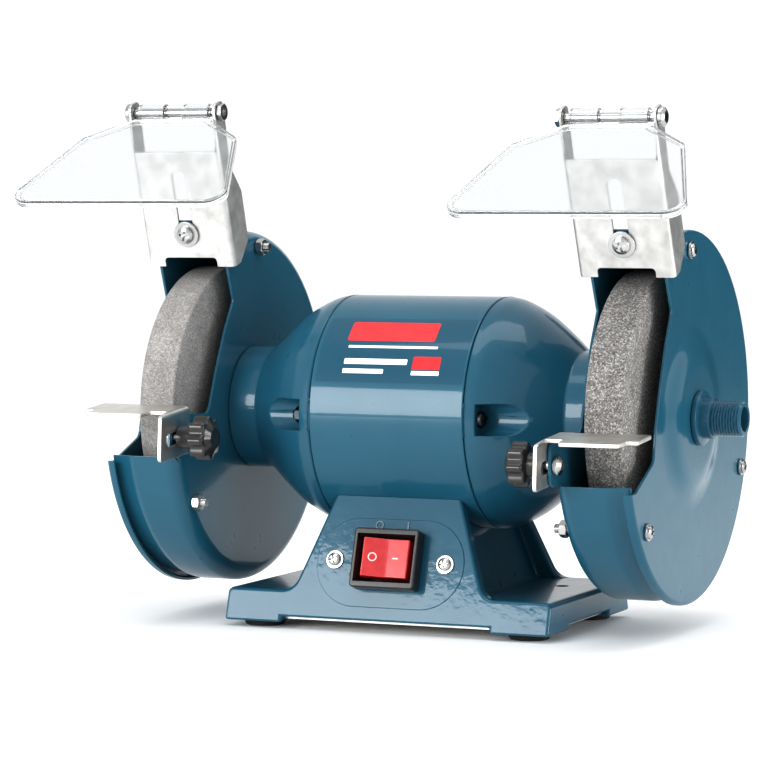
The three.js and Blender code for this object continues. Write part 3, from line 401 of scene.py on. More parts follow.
def material(name, **sockets):
    """A new material: its node tree, its Principled shader, and coordinates in millimetres."""
    look = bpy.data.materials.new(name)
    look.use_nodes = True
    tree = look.node_tree
    shader = tree.nodes["Principled BSDF"]
    for key, value in sockets.items():
        shader.inputs[key.replace("_", " ")].default_value = value
    place = add(tree, "ShaderNodeTexCoord")
    ruler = add(tree, "ShaderNodeVectorMath",
                {0: place.outputs["Object"], 1: (1 / MM, 1 / MM, 1 / MM)}, operation="MULTIPLY")
    return look, tree, shader, ruler


def stops(ramp, *pairs):
    """Gives a colour ramp its (position, hex colour) stops."""
    elements = ramp.color_ramp.elements
    while len(elements) < len(pairs):
        elements.new(0.5)
    for element, (position, hexed) in zip(elements, pairs):
        element.position, element.color = position, colour(hexed)
    return ramp


# %% [markdown]
# **Petrol enamel.** The sheet guards and the cast housings are sprayed with gloss alkyd enamel
# and baked. Enamel is a colour layer under a clear skin, so the shader gets a coat. Sprayed
# paint is never quite flat: it dries with orange peel, low waves about 1.5 mm across. The cast
# base adds slower waves from the sand of its mould.

# %% Enamel


def enamel(name, tint, wave, wave_depth):
    look, tree, shader, mm = material(
        name, Roughness=0.3, IOR=1.5, Specular_IOR_Level=0.15, Coat_Weight=0.55,
        Coat_Roughness=0.06, Coat_IOR=1.5)
    clouds = add(tree, "ShaderNodeTexNoise", {"Vector": mm, "Scale": 1 / 45, "Detail": 3})
    patches = add(tree, "ShaderNodeTexNoise", {"Vector": mm, "Scale": 1 / 9})
    waves = add(tree, "ShaderNodeTexNoise", {"Vector": mm, "Scale": 1 / wave})
    peel = add(tree, "ShaderNodeTexNoise", {"Vector": mm, "Scale": 1 / 1.5, "Detail": 0})
    shade = stops(add(tree, "ShaderNodeValToRGB", {0: clouds}), (0.3, tint[0]), (0.7, tint[1]))
    rough = add(tree, "ShaderNodeMapRange", {0: patches, "To Min": 0.24, "To Max": 0.36})
    slow = add(tree, "ShaderNodeBump", {"Height": waves, "Distance": wave_depth * MM})
    fine = add(tree, "ShaderNodeBump", {"Height": peel, "Distance": 0.004 * MM, "Normal": slow})
    feed(tree, shader,
         {"Base Color": shade, "Roughness": rough, "Normal": fine, "Coat Normal": fine})
    return look


SHEET_ENAMEL = enamel("petrol_enamel_on_sheet", ("#1f566b", "#245c70"), 14, 0.02)
CAST_ENAMEL = enamel("petrol_enamel_on_casting", ("#1e5469", "#24596e"), 5, 0.05)

# %% [markdown]
# ** Zinc plate.** The brackets, rests and screws are zinc plated and passivated. Zinc is a metal,
# so it has no colour but its reflection. Rolled sheet shows fine lines along its grain, and the
# bath leaves faint clouds a centimetre wide. The screws are brighter and have clouds only. The
# rests' zinc is tinted warm grey-brown, which is a painted reflection laid into its colour.

# %% Plated steel


def plated(name, low, high, rough, grain):
    look, tree, shader, mm = material(name, Metallic=1.0)
    clouds = add(tree, "ShaderNodeTexNoise", {"Vector": mm, "Scale": 1 / 9, "Detail": 4})
    patches = add(tree, "ShaderNodeTexNoise", {"Vector": mm, "Scale": 1 / 6, "Detail": 4})
    shade = stops(add(tree, "ShaderNodeValToRGB", {0: clouds}), (0.3, low), (0.7, high))
    uneven = add(tree, "ShaderNodeMapRange",
                 {0: patches, "To Min": rough - 0.05, "To Max": rough + 0.08})
    feed(tree, shader, {"Base Color": shade, "Roughness": uneven})
    if grain:
        along = add(tree, "ShaderNodeVectorMath", {0: mm, 1: (4.0, 0.15, 0.15)},
                    operation="MULTIPLY")
        lines = add(tree, "ShaderNodeTexNoise", {"Vector": along, "Scale": 1.0, "Detail": 1})
        feed(tree, shader, {
            "Normal": add(tree, "ShaderNodeBump", {"Height": lines, "Distance": 0.004 * MM})})
    return look


ZINC_SHEET = plated("zinc_plated_sheet", "#b9b9b7", "#dddddb", 0.36, True)
ZINC_SCREW = plated("zinc_plated_screw", "#a9aaaa", "#c8c8c7", 0.2, False)
# The rests are real zinc plate, but their warm grey-brown tint is a painted reflection of what they
# mirror.
ZINC_WITH_PAINTED_WARM_REFLECTION = plated("zinc_strip_painted_warm_reflection", "#c9c6c1", "#dcdad6", 0.36, True)
DARK_SCREW = plated("blackened_screw", "#33393d", "#474e53", 0.35, False)

# %% [markdown]
# **Turned and ground steel.** A lathe leaves rings round the spindle, 0.2 mm apart here. The
# laminations of the stator and rotor are sheets half a millimetre thick, stacked along X and
# seen at their edges, so they show lines across the spindle.

# %% Steels and copper


def ringed(name, hexed, rough, pitch, depth, metallic=1.0):
    """Metal with fine lines across the X axis, pitch in millimetres."""
    look, tree, shader, mm = material(name, Metallic=metallic)
    lines = add(tree, "ShaderNodeTexWave",
                {"Vector": mm, "Scale": 0.314 / pitch, "Distortion": 0.4, "Detail": 1.0},
                bands_direction="X", wave_profile="SIN")
    clouds = add(tree, "ShaderNodeTexNoise", {"Vector": mm, "Scale": 1 / 7, "Detail": 3})
    patches = add(tree, "ShaderNodeTexNoise", {"Vector": mm, "Scale": 1 / 3})
    shade = stops(add(tree, "ShaderNodeValToRGB", {0: clouds}), (0.3, hexed[0]), (0.7, hexed[1]))
    uneven = add(tree, "ShaderNodeMapRange", {0: patches, "To Min": rough, "To Max": rough + 0.1})
    relief = add(tree, "ShaderNodeBump", {"Height": lines.outputs["Fac"], "Distance": depth * MM})
    feed(tree, shader, {"Base Color": shade, "Roughness": uneven, "Normal": relief})
    return look


TURNED_STEEL = ringed("turned_steel", ("#a9a9a7", "#bcbcba"), 0.25, 0.2, 0.004)
LAMINATION = ringed("stacked_lamination_steel", ("#5b5e61", "#6d7073"), 0.45, 0.5, 0.02)
WINDING = ringed("enamelled_copper_wire", ("#9a4a22", "#b5612f"), 0.3, 0.8, 0.15, 0.9)
CAN = ringed("drawn_aluminium", ("#b7babd", "#c7c9cc"), 0.3, 1.2, 0.002)

# %% [markdown]
# **Moulded plastics.** Switch bezel and knobs are black and come from polished or lightly
# sparked moulds. Spark texture is a fine pitting about 0.3 mm wide, drawn here at 0.5 mm or
# more so that it shows. Rubber feet are duller.

# %% Black plastics and rubber


def moulded(name, low, high, rough, pit, depth, clear=0.0):
    look, tree, shader, mm = material(name, IOR=1.5, Coat_Weight=clear, Coat_Roughness=0.15)
    clouds = add(tree, "ShaderNodeTexNoise", {"Vector": mm, "Scale": 1 / 5, "Detail": 4})
    patches = add(tree, "ShaderNodeTexNoise", {"Vector": mm, "Scale": 1 / 2, "Detail": 3})
    pits = add(tree, "ShaderNodeTexNoise", {"Vector": mm, "Scale": 1 / pit})
    shade = stops(add(tree, "ShaderNodeValToRGB", {0: clouds}), (0.35, low), (0.7, high))
    uneven = add(tree, "ShaderNodeMapRange",
                 {0: patches, "To Min": rough - 0.06, "To Max": rough + 0.08})
    relief = add(tree, "ShaderNodeBump", {"Height": pits, "Distance": depth * MM})
    feed(tree, shader, {"Base Color": shade, "Roughness": uneven, "Normal": relief})
    return look


BEZEL_PLASTIC = moulded("black_nylon", "#1b1b1b", "#242424", 0.36, 0.5, 0.01, 0.2)
KNOB_PLASTIC = moulded("black_phenolic", "#171616", "#222120", 0.3, 0.6, 0.008, 0.4)
FOOT_RUBBER = moulded("black_rubber", "#121212", "#262524", 0.75, 1.0, 0.03)
MOULDED_MARK = moulded("pale_mould_ink", "#f3c9c4", "#ffdcd8", 0.4, 0.6, 0.004)
PANEL_MARK = moulded("raised_enamel_mark", "#1a4a5d", "#1e5064", 0.3, 1.5, 0.004, 0.6)

# %% [markdown]
# **Polycarbonate.** The eye shields are injection moulded and water clear, with a refractive
# index of 1.58. The rocker is the same plastic dyed red, so it lets light through and glows a
# little where it is thin.

# %% Clear and red polycarbonate
look, tree, shader, mm = material(
    "clear_polycarbonate", IOR=1.58, Transmission_Weight=0.97, Base_Color=colour("#f5f7f8"))
haze = add(tree, "ShaderNodeTexNoise", {"Vector": mm, "Scale": 1 / 12, "Detail": 3})
sinks = add(tree, "ShaderNodeTexNoise", {"Vector": mm, "Scale": 1 / 18})
feed(tree, shader, {
    "Roughness": add(tree, "ShaderNodeMapRange", {0: haze, "To Min": 0.04, "To Max": 0.09}),
    "Normal": add(tree, "ShaderNodeBump", {"Height": sinks, "Distance": 0.01 * MM})})
CLEAR_PLASTIC = look

look, tree, shader, mm = material(
    "red_polycarbonate", IOR=1.58, Transmission_Weight=0.25, Coat_Weight=0.5, Coat_Roughness=0.06)
swirls = add(tree, "ShaderNodeTexNoise", {"Vector": mm, "Scale": 1 / 4, "Detail": 3})
patches = add(tree, "ShaderNodeTexNoise", {"Vector": mm, "Scale": 1 / 3})
pits = add(tree, "ShaderNodeTexNoise", {"Vector": mm, "Scale": 1 / 1.2})
feed(tree, shader, {
    "Base Color": stops(
        add(tree, "ShaderNodeValToRGB", {0: swirls}), (0.3, "#c8232a"), (0.7, "#d8343a")),
    "Roughness": add(tree, "ShaderNodeMapRange", {0: patches, "To Min": 0.18, "To Max": 0.3}),
    "Normal": add(tree, "ShaderNodeBump", {"Height": pits, "Distance": 0.004 * MM})})
RED_PLASTIC = look

# %% [markdown]
# **Bonded abrasive.** A grinding wheel is fused alumina grit held in glass. The fine wheel has
# grains near 0.3 mm, drawn at twice that so that single grains show, and the coarse one has
# grains near 0.65 mm. Every grain is a cell with its own grey, and the cells make the relief.

# %% Grinding wheels


def abrasive(name, greys, grain, depth):
    look, tree, shader, mm = material(name, Roughness=0.95)
    cells = add(tree, "ShaderNodeTexVoronoi", {"Vector": mm, "Scale": 1 / grain})
    number = add(tree, "ShaderNodeSeparateColor", {0: cells.outputs["Color"]})
    grains = stops(add(tree, "ShaderNodeValToRGB", {0: number}), *greys)
    dust = add(tree, "ShaderNodeTexNoise", {"Vector": mm, "Scale": 1 / 10, "Detail": 4})
    cloud = stops(add(tree, "ShaderNodeValToRGB", {0: dust}), (0.3, "#dedede"), (0.7, "#ffffff"))
    mixed = add(tree, "ShaderNodeMix", {"Factor": 1.0, 6: grains, 7: cloud},
                data_type="RGBA", blend_type="MULTIPLY")
    relief = add(tree, "ShaderNodeBump",
                 {"Height": cells.outputs["Distance"], "Distance": depth * MM})
    feed(tree, shader, {"Base Color": mixed.outputs[2], "Normal": relief})
    return look


FINE_STONE = abrasive(
    "fine_alumina", ((0.0, "#858381"), (0.3, "#989694"), (0.75, "#a3a19f"), (1.0, "#b8b6b3")),
    0.6, 0.05)
COARSE_STONE = abrasive(
    "coarse_alumina", ((0.0, "#5b5a59"), (0.25, "#7d7b79"), (0.7, "#918f8d"), (1.0, "#c6c4c1")),
    0.65, 0.06)

# %% [markdown]
# **Label film.** The motor carries a printed film in a darker petrol. The print is left as plain
# bars, one red and the rest white.

# %% Film and inks
FILM = enamel("dark_petrol_film", ("#1a4d62", "#1d5267"), 20, 0.004)
RED_INK = moulded("red_ink", "#c51f27", "#d62a31", 0.35, 2.0, 0.002, 0.3)
WHITE_INK = moulded("white_ink", "#e8eaeb", "#f7f8f8", 0.35, 2.0, 0.002, 0.3)
print(len(bpy.data.materials), "materials")

# %% [markdown]
# ## The cast base
# The base is one casting: two leaning panels that flare out to four feet, with recessed ends
# between them. Two outlines give it, one seen from the front and one from the side, and the
# body is what both share. The ends are cut back, the edges rounded as a mould needs them, and
# then the saddle for the motor and the holes are machined.

# %% Base casting
BASE_HALF, BASE_FRONT, BASE_REAR = 90.3, 63.7, 56
BOTTOM, FOOT_TOP, BASE_TOP = 3.2, 19.8, 77
PANEL_SLOPE = 0.31  # how far a panel leans in for each millimetre up
LEAN = math.atan(PANEL_SLOPE)
SHELL_RADIUS = 60.3
SADDLE = SHELL_RADIUS + GAP
WALL, FLANGE, RECESS = 3, 7, 7
FLARE, WAIST = 50, 31.9
PAD = 30
SKIRT = 3


def side_outline(inset, bottom):
    front, rear = -BASE_FRONT + inset, BASE_REAR - inset
    low, rise = (bottom - BOTTOM) * PANEL_SLOPE, (BASE_TOP - BOTTOM) * PANEL_SLOPE
    return [(front + low, bottom), (rear - low, bottom), (rear - rise, BASE_TOP),
            (front + rise, BASE_TOP)]


front_view = [
    (BASE_HALF, BOTTOM), (BASE_HALF, FOOT_TOP, 3), (FLARE + 3, FOOT_TOP, 9), (WAIST, BASE_TOP),
]
front_view += [(-p[0], *p[1:]) for p in reversed(front_view)]
base = slab("base", rounded(front_view), -BASE_FRONT, BASE_REAR, "Y")
meet(base, slab("side", side_outline(0, BOTTOM), -BASE_HALF, BASE_HALF, "X"))
for side in (1, -1):
    recess = slab("recess", [
        (side * (FLARE - RECESS), FOOT_TOP), (side * (BASE_HALF + 5), FOOT_TOP),
        (side * (BASE_HALF + 5), BASE_TOP + 1), (side * (WAIST - RECESS + 1), BASE_TOP + 1),
    ], -BASE_FRONT, BASE_REAR, "Y")
    meet(recess, slab("side", side_outline(FLANGE, FOOT_TOP), -99, 99, "X"))
    cut(base, recess)
pad_x, pad_front, pad_rear = BASE_HALF - 16, -BASE_FRONT + 16, BASE_REAR - 16
cut(base,
    block("skirt", (2 * (BASE_HALF - PAD - 2), 200, 2 * SKIRT), (0, 0, BOTTOM)),
    block("skirt", (200, pad_rear - pad_front - PAD, 2 * SKIRT),
          (0, (pad_front + pad_rear) / 2, BOTTOM)))
soften(base, 1.6, 4)
print("base casting:", len(base.data.polygons), "faces")

# %% [markdown]
# The switch sits on a low raised land with round ends. On it, above the switch, stand a small
# ring and a bar: the usual signs for off and on. They are cast with the base.

# %% Switch land, saddle and holes
SWITCH_Z = 36
LAND = 0.5
PANEL_SCREW_X = 30.8
BENCH_HOLE = (69, 12)
GLAND_X, GLAND_Z = 28, 34


def on_front(piece, x=0.0, up=0.0, out=0.0):
    """Moves a piece drawn flat, with Z pointing out, onto the leaning front panel."""
    panel = shift(0, -BASE_FRONT + (SWITCH_Z - BOTTOM) * PANEL_SLOPE, SWITCH_Z)
    return moved(piece, panel @ turn("X", math.pi / 2 - LEAN) @ shift(x, up, out))


land = slab("land", rounded(box_outline(-41, -24, 41, 22.5, 23.2), 24), -2, LAND)
soften(land, 0.35, 2)
join(base, on_front(land))
cut(base, moved(rod("saddle", SADDLE, -99, 99, "X", 192), shift(z=SPINDLE)))
room = slab("room", [
    (-BASE_HALF + WALL, BOTTOM - 1), (BASE_HALF - WALL, BOTTOM - 1),
    (BASE_HALF - WALL, FOOT_TOP - WALL), (FLARE - RECESS - WALL, FOOT_TOP - WALL),
    (WAIST - RECESS - WALL, BASE_TOP), (-WAIST + RECESS + WALL, BASE_TOP),
    (-FLARE + RECESS + WALL, FOOT_TOP - WALL), (-BASE_HALF + WALL, FOOT_TOP - WALL),
], -BASE_FRONT, BASE_REAR, "Y")
meet(room, slab("side", side_outline(WALL, BOTTOM - 1), -99, 99, "X"))
cut(room, moved(rod("skin", SADDLE + WALL, -99, 99, "X", 96), shift(z=SPINDLE)))
FEET = {
    f"{deep}_{hand}": (x, y)
    for deep, y in (("front", pad_front), ("rear", pad_rear))
    for hand, x in (("left", -pad_x), ("right", pad_x))
}
for x, y in FEET.values():
    cut(room, block("pad", (PAD, PAD, FOOT_TOP), (x, y, FOOT_TOP / 2)))
for side in (1, -1):
    cut(room, moved(rod("boss", 7, 0, FOOT_TOP), shift(side * BENCH_HOLE[0], BENCH_HOLE[1])))
cut(base, room)
cut(base, on_front(block("hole", (29.6, 24.6, 20), (0, 0.5, 0))))
GLAND_AT = shift(GLAND_X, BASE_REAR - (GLAND_Z - BOTTOM) * PANEL_SLOPE, GLAND_Z) @ turn(
    "Z", math.pi) @ turn("X", math.pi / 2 - LEAN)
cut(base, moved(rod("hole", 8.3, -10, 10), GLAND_AT))
cut(base, rod("wires", 5, 20, SPINDLE))
for x, y in FEET.values():
    cut(base, moved(rod("hole", 3.9, 0, 10, steps=24), shift(x, y)))
for side in (1, -1):
    cut(base, moved(rod("hole", 3.6, 0, 30), shift(side * BENCH_HOLE[0], BENCH_HOLE[1])))
    cut(base, on_front(rod("hole", 2.4, -10, 10, steps=24), side * PANEL_SCREW_X))
moved(base, AT_MOTOR)
finish(base, "base_casting", "frame", CAST_ENAMEL, "base")
print("base casting:", len(base.data.polygons), "faces")

# %% Off and on signs
ring = turned("ring", [(LAND - 0.2, 1.5), (LAND + 0.45, 1.6), (LAND + 0.45, 2.3), (LAND - 0.2, 2.4)], 40)
moved(ring, turn("Y", -math.pi / 2))
bar = slab("bar", rounded(box_outline(-0.45, -2.3, 0.45, 2.3, 0.4)), LAND - 0.2, LAND + 0.45)
for sign, x in ((ring, -8), (bar, 8)):
    on_front(sign, x, 19)
    moved(sign, AT_MOTOR)
    finish(sign, f"cast_{sign.name}", "frame", PANEL_MARK)

# %% [markdown]
# ## Feet, bottom plate and gland
# The feet are moulded rubber buttons with a stem pushed up into the casting. The bottom plate is
# folded steel and is hardly seen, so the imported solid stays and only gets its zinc. The gland
# is a nylon tube with a hexagon, at the back.

# %% Feet and gland
for name, (x, y) in FEET.items():
    button = turned(f"rubber_foot_{name}", rounded([
        (0, 0), (0, 10, 0.8), (BOTTOM - GAP, 11, 0.6), (BOTTOM - GAP, 3.5), (9, 3.5, 0.6), (9, 0),
    ], 4), 64)
    moved(button, shift(x, y + SPINDLE_Y) @ turn("Y", -math.pi / 2))
    finish(button, f"rubber_foot_{name}", "frame", FOOT_RUBBER, f"foot_{name}")
gland = turned("gland", rounded([
    (-7, 4.5), (-7, 8, 0.5), (4, 8), (4, 7), (9, 7, 1), (9, 4.5, 0.6),
], 4), 64)
moved(gland, turn("Y", -math.pi / 2))
hexagon = slab("hexagon", circle(11, 6), GAP, 5)
soften(hexagon, 0.5, 2)
cut(hexagon, rod("bore", 7.5, -1, 9))
join(gland, hexagon)
moved(gland, AT_MOTOR @ GLAND_AT)
finish(gland, "nylon_gland", "frame", BEZEL_PLASTIC, "cable_gland")

# %% [markdown]
# ## Screws and nuts
# A pan head screw is turned, so its head is a profile, and its cross recess is pressed, so it is
# cut. A nut is a hexagon cut by a cone at each end. Threads that show get real ridges: the
# radius follows the place along the screw and round it, which makes a true helix.

# %% Fasteners


def thread(pitch, depth):
    """For turned(): takes depth off the radius along a helix."""
    def swell(along, radius, angle):
        if radius <= 0:
            return radius
        phase = (along / pitch + angle / (2 * math.pi)) % 1
        return radius - depth * abs(2 * phase - 1)
    return swell


def pan_screw(radius, height, washer=0.0, washer_thick=0.0, shank=2.0, length=6.0):
    """A pan head cross screw with its washer, Z up, standing on the washer's underside."""
    top = washer_thick + height
    points = [(-length, 0), (-length, shank), (0, shank)]
    if washer:
        points += [(0, washer, 0.2), (washer_thick, washer, 0.2)]
    points += [(washer_thick, radius, 0.1), (top - 0.35 * height, radius, 0.35 * height),
               (top, radius * 0.62, 0.6), (top, 0)]
    screw = turned("screw", rounded(points, 5), 56)
    moved(screw, turn("Y", -math.pi / 2))
    arm, deep = radius * 0.62, height * 0.62
    for angle in (0.3, 0.3 + math.pi / 2):
        slot = block("slot", (2 * arm, radius * 0.3, 2 * deep), (0, 0, top))
        moved(slot, turn("Z", angle))
        cut(screw, slot)
    return screw


def nut(radius, thick, bore):
    """A hexagon nut, Z up, standing on its face."""
    body = slab("nut", circle(radius, 6), 0, thick)
    flat = radius * math.cos(math.pi / 6)
    cone = turned("cone", [
        (-1, 0), (-1, flat * 0.9), (0, flat * 0.97), (thick * 0.2, radius * 1.01),
        (thick * 0.8, radius * 1.01), (thick, flat * 0.97), (thick + 1, flat * 0.9), (thick + 1, 0),
    ], 64)
    moved(cone, turn("Y", -math.pi / 2))
    return cut(meet(body, cone), rod("bore", bore, -1, thick + 1))


def stud(radius, low, high, pitch=0.8):
    """A threaded rod along Z."""
    steps = max(2, round((high - low) / pitch * 6))
    points = [(low, 0)] + [(low + (high - low) * k / steps, radius) for k in range(steps + 1)]
    rod_made = turned("stud", points + [(high, 0)], 32, thread(pitch, 0.13 * radius))
    return moved(rod_made, turn("Y", -math.pi / 2))


for name, side in SIDES:
    screw = pan_screw(3.4, 2.1, 4.8, 0.8, 2.0, 8)
    on_front(screw, side * PANEL_SCREW_X, 0, LAND + 0.05)
    moved(screw, AT_MOTOR)
    finish(screw, f"panel_cross_screw_{name}", "frame", ZINC_SCREW,
           f"panel_screw_{name}")

# %% [markdown]
# ## Switch
# A snap-in rocker switch: a black bezel whose window slopes in to the rocker, and a dyed rocker
# with a shallow V on its face. Its right half is pressed in at rest. The ring and bar on it are
# printed.

# %% Bezel and rocker
bezel = slab("bezel", rounded(box_outline(-18, -15.5, 18, 15.5, 2)), GAP + LAND, 9)
soften(bezel, 0.9, 3)
funnel = slab("funnel", rounded(box_outline(-14, -10.5, 14, 10.5)), 1, 9.5)
for vertex in funnel.data.vertices:
    if vertex.co.z > 5 * MM:
        vertex.co.x *= 16.2 / 14
        vertex.co.y *= 12.7 / 10.5
well = block("well", (28, 21, 20), (0, 0, 3))
join(bezel, block("body", (29, 24, 24.5), (0, 0, -11)))
cut(bezel, funnel, well)
on_front(bezel, 0, 0.5)
moved(bezel, AT_MOTOR)
finish(bezel, "switch_bezel", "frame", BEZEL_PLASTIC, "switch_frame")

CROWN, REACH = 5, 13.3
rocker = slab("rocker", rounded([
    (-12.0, CROWN + 1.5, 0.8), (-REACH, 1), (-13.1, -3), (0, -6), (13.1, -3), (REACH, 1),
    (12.0, CROWN + 1.5, 0.8), (0, CROWN, 12),
], 8), -10, 10, "Y")
soften(rocker, 0.5, 3)
tilt = math.radians(11)
ring = turned("ring", [(0, 1.7), (0.15, 1.7), (0.15, 2.3), (0, 2.3)], 40)
moved(ring, turn("Y", -math.pi / 2))
bar = slab("bar", rounded(box_outline(-1.6, -0.35, 1.6, 0.35, 0.3)), 0, 0.15)
for mark, x in ((ring, -6.8), (bar, 5.2)):
    slope = math.copysign(math.atan(1.5 / 12), -x)
    moved(mark, shift(x, 0, CROWN + abs(x) / 8 - 0.03) @ turn("Y", slope))
for part, look, node in ((rocker, RED_PLASTIC, "switch_rocker"),
                         (ring, MOULDED_MARK, ()), (bar, MOULDED_MARK, ())):
    moved(part, shift(z=4) @ turn("Y", tilt))
    on_front(part, 0, 0.5)
    moved(part, AT_MOTOR)
    finish(part, f"switch_{part.name}_face", "switch_rocker", look, node)
print("switch bezel 36 x 31 mm, rocker", REACH * 2, "mm long")

# %% [markdown]
# ## Motor housing
# The middle of the motor is a rolled tube, and the two end bells are die castings pulled in to a
# neck. A bell's outline is a smooth curve through a few chosen points, turned about the
# spindle. Two channels for the tie bolts' heads are milled along each bell.

# %% Tube and end bells


def flowing(points, steps=6):
    """A smooth curve through (along, radius) points."""
    made_points = []
    for i in range(len(points) - 1):
        p0, p1, p2, p3 = (Vector(points[max(0, min(len(points) - 1, i + k))][:2])
                          for k in (-1, 0, 1, 2))
        for k in range(steps):
            t = k / steps
            made_points.append(tuple(0.5 * (
                2 * p1 + (p2 - p0) * t + (2 * p0 - 5 * p1 + 4 * p2 - p3) * t ** 2
                + (3 * p1 - p0 - 3 * p2 + p3) * t ** 3)))
    return [*made_points, tuple(points[-1])]


tube = turned("tube", rounded([
    (-SHELL_HALF, SHELL_RADIUS - 2.5), (-SHELL_HALF, SHELL_RADIUS, 0.7),
    (SHELL_HALF, SHELL_RADIUS, 0.7), (SHELL_HALF, SHELL_RADIUS - 2.5),
], 5), 192)
cut(tube, rod("wires", 5, -SPINDLE, -30))
moved(tube, AT_SPINDLE)
finish(tube, "motor_tube", "frame", SHEET_ENAMEL, "motor_shell")

NECK = 32.6
TIE_Y = 53
NECK_START = BELL_END - 18
HOUSING = 21.3


def end_bell():
    b = BELL_START
    dome = flowing([(b + 0.7, SHELL_RADIUS), (b + 8, SHELL_RADIUS - 1.6),
                    (b + 20, SHELL_RADIUS - 7.8), (b + 32, SHELL_RADIUS - 17.2),
                    (NECK_START - 1, NECK + 2.6)])
    root = rounded([dome[-1], (NECK_START + 2, NECK, 2.5), (BELL_END - 1, NECK)], 6)[1:]
    hollow = [(NECK_START - 1, NECK - 2.4), (b + 20, SHELL_RADIUS - 12.8), (b, SHELL_RADIUS - 5)]
    seat = BELL_END - 3.5 - 11 - GAP
    bell = turned("bell", [
        (b, SHELL_RADIUS - 0.7), (b + 0.2, SHELL_RADIUS - 0.2), *dome, *root[:-1],
        (BELL_END, NECK), (BELL_END, 12), (BELL_END - 3.5, 12), (BELL_END - 3.5, 17.8),
        (seat, 17.8), (seat, HOUSING), (BELL_END - 3.5, HOUSING), (BELL_END - 3.5, NECK - 3.5),
        *hollow,
    ], 160)
    limit = turned("limit", [(b, 0), (b, SHELL_RADIUS - 0.5),
                             *[(x, r - 0.5) for x, r in dome], (dome[-1][0], 0)], 96)
    posts = moved(rod("post", 10.5, b, NECK_START, "X"), shift(y=TIE_Y))
    join(posts, moved(rod("post", 10.5, b, NECK_START, "X"), shift(y=-TIE_Y)))
    join(bell, meet(posts, limit))
    for way in (1, -1):
        channel = slab("channel", rounded([
            (way * (TIE_Y - 8), -8, 7.9), (way * (TIE_Y + 30), -8),
            (way * (TIE_Y + 30), 8), (way * (TIE_Y - 8), 8, 7.9),
        ], 12), b + 6, BELL_END + 1, "X")
        cut(bell, channel, moved(rod("hole", 2.7, 0, 110, "X", 24), shift(y=way * TIE_Y)))
    return soften(bell, 0.7, 3, 40)


bell = end_bell()
for name, side in SIDES:
    twin = copy_of(bell, "bell")
    for_side(twin, side, on_guard=False)
    finish(twin, f"cast_end_bell_{name}", "frame", CAST_ENAMEL, f"end_bell_{name}")
bpy.data.objects.remove(bell)

# %% Tie bolts
for name, way in (("front", -1), ("rear", 1)):
    reach = BELL_START + 6 + GAP
    bolt = pan_screw(4.2, 3, 0, 0, 2.4, 2 * reach + 2)
    end = moved(nut(4.4, 3.5, 2.3), shift(z=-2 * reach - 3.5))
    join(bolt, end, stud(2.35, -2 * reach - 5, -2 * reach + 1))
    moved(bolt, AT_SPINDLE @ shift(reach, way * TIE_Y) @ turn("Y", math.pi / 2))
    finish(bolt, f"cross_tie_bolt_{name}", "frame", DARK_SCREW, f"tie_bolt_{name}")

# %% [markdown]
# ## Label
# The label is a printed film that lies on the tube, so its mesh is a patch of the tube's own
# curve raised by a tenth of a millimetre, and the print is smaller patches raised a little more.

# %% Label film and bars


def patch(name, x0, x1, low, high, rise, radius=0.0):
    """A patch on the motor tube, between two places along it and two heights in degrees."""
    scale = math.radians(1) * SHELL_RADIUS
    outline = rounded(box_outline(x0, low * scale, x1, high * scale, radius), 6)
    sheet = slab(name, outline, SHELL_RADIUS - 0.05, SHELL_RADIUS + rise)
    bm = bmesh.new()
    bm.from_mesh(sheet.data)
    for k in range(1, 24):
        at = (low + (high - low) * k / 24) * scale * MM
        bmesh.ops.bisect_plane(bm, geom=[*bm.verts, *bm.edges, *bm.faces],
                               plane_co=(0, at, 0), plane_no=(0, 1, 0))
    for vertex in bm.verts:
        angle = vertex.co.y / (SHELL_RADIUS * MM)
        r = vertex.co.z
        vertex.co = (vertex.co.x, -r * math.cos(angle), r * math.sin(angle))
    bmesh.ops.recalc_face_normals(bm, faces=bm.faces)
    bm.to_mesh(sheet.data)
    bm.free()
    return moved(sheet, AT_SPINDLE)


PRINT = (
    ("film", -40.5, 41.3, 17, 55, 0.08, 1.0, FILM),
    ("bar_wide", -27, 22, 39.5, 52, 0.14, 1.5, RED_INK),
    ("bar_thin", -25.3, 24.6, 35.4, 36.8, 0.14, 0.3, WHITE_INK),
    ("bar_middle", -25.8, 9.5, 26.4, 29.4, 0.14, 0.5, WHITE_INK),
    ("bar_short", -25.8, -3, 21.6, 24.0, 0.14, 0.4, WHITE_INK),
    ("plate", 12.6, 28, 24, 31, 0.14, 0.6, RED_INK),
    ("plate_foot", 12.6, 28, 21.2, 23.4, 0.14, 0.3, WHITE_INK),
)
for name, x0, x1, low, high, rise, radius, look in PRINT:
    finish(patch(name, x0, x1, low, high, rise, radius), f"label_{name}", "frame", look)
print(len(PRINT), "label pieces")

# %% [markdown]
# ## Guards
# Each wheel runs in a pressed steel dish with a cover over its outer side. Both are spun about
# the spindle's line, then the opening for the work is cut through them. A tab for the tool
# rest's bolt hangs below the opening, and a lug behind the spark bracket takes its screw.

# %% Places on a guard
GUARD_RADIUS = WHEEL_RADIUS + 18.8
LIP_RADIUS = GUARD_RADIUS + 1.7
PLATE_LEAN = math.atan(0.356)
PLATE_Y, PLATE_Z = (
    (WHEEL_RADIUS + 7.5) * x for x in (-math.sin(math.radians(26.7)), math.cos(math.radians(26.7))))
ON_PLATE = shift(WHEEL_MIDDLE, PLATE_Y, PLATE_Z) @ turn("X", math.pi / 2 + PLATE_LEAN)
BOLT_RING = GUARD_RADIUS - 8.5
BOLT_PLACES = [
    (BOLT_RING * math.cos(math.radians(a)), BOLT_RING * math.sin(math.radians(a)))
    for a in (90, 215, 336)
]
CLAMP_Y, CLAMP_Z = -WHEEL_RADIUS - 17, -14.5
SHAFT_HOLE = 12


def lug_face(up):
    s, c = math.sin(PLATE_LEAN), math.cos(PLATE_LEAN)
    back = SHEET + GAP
    return PLATE_Y - up * s + back * c, PLATE_Z + up * c + back * s


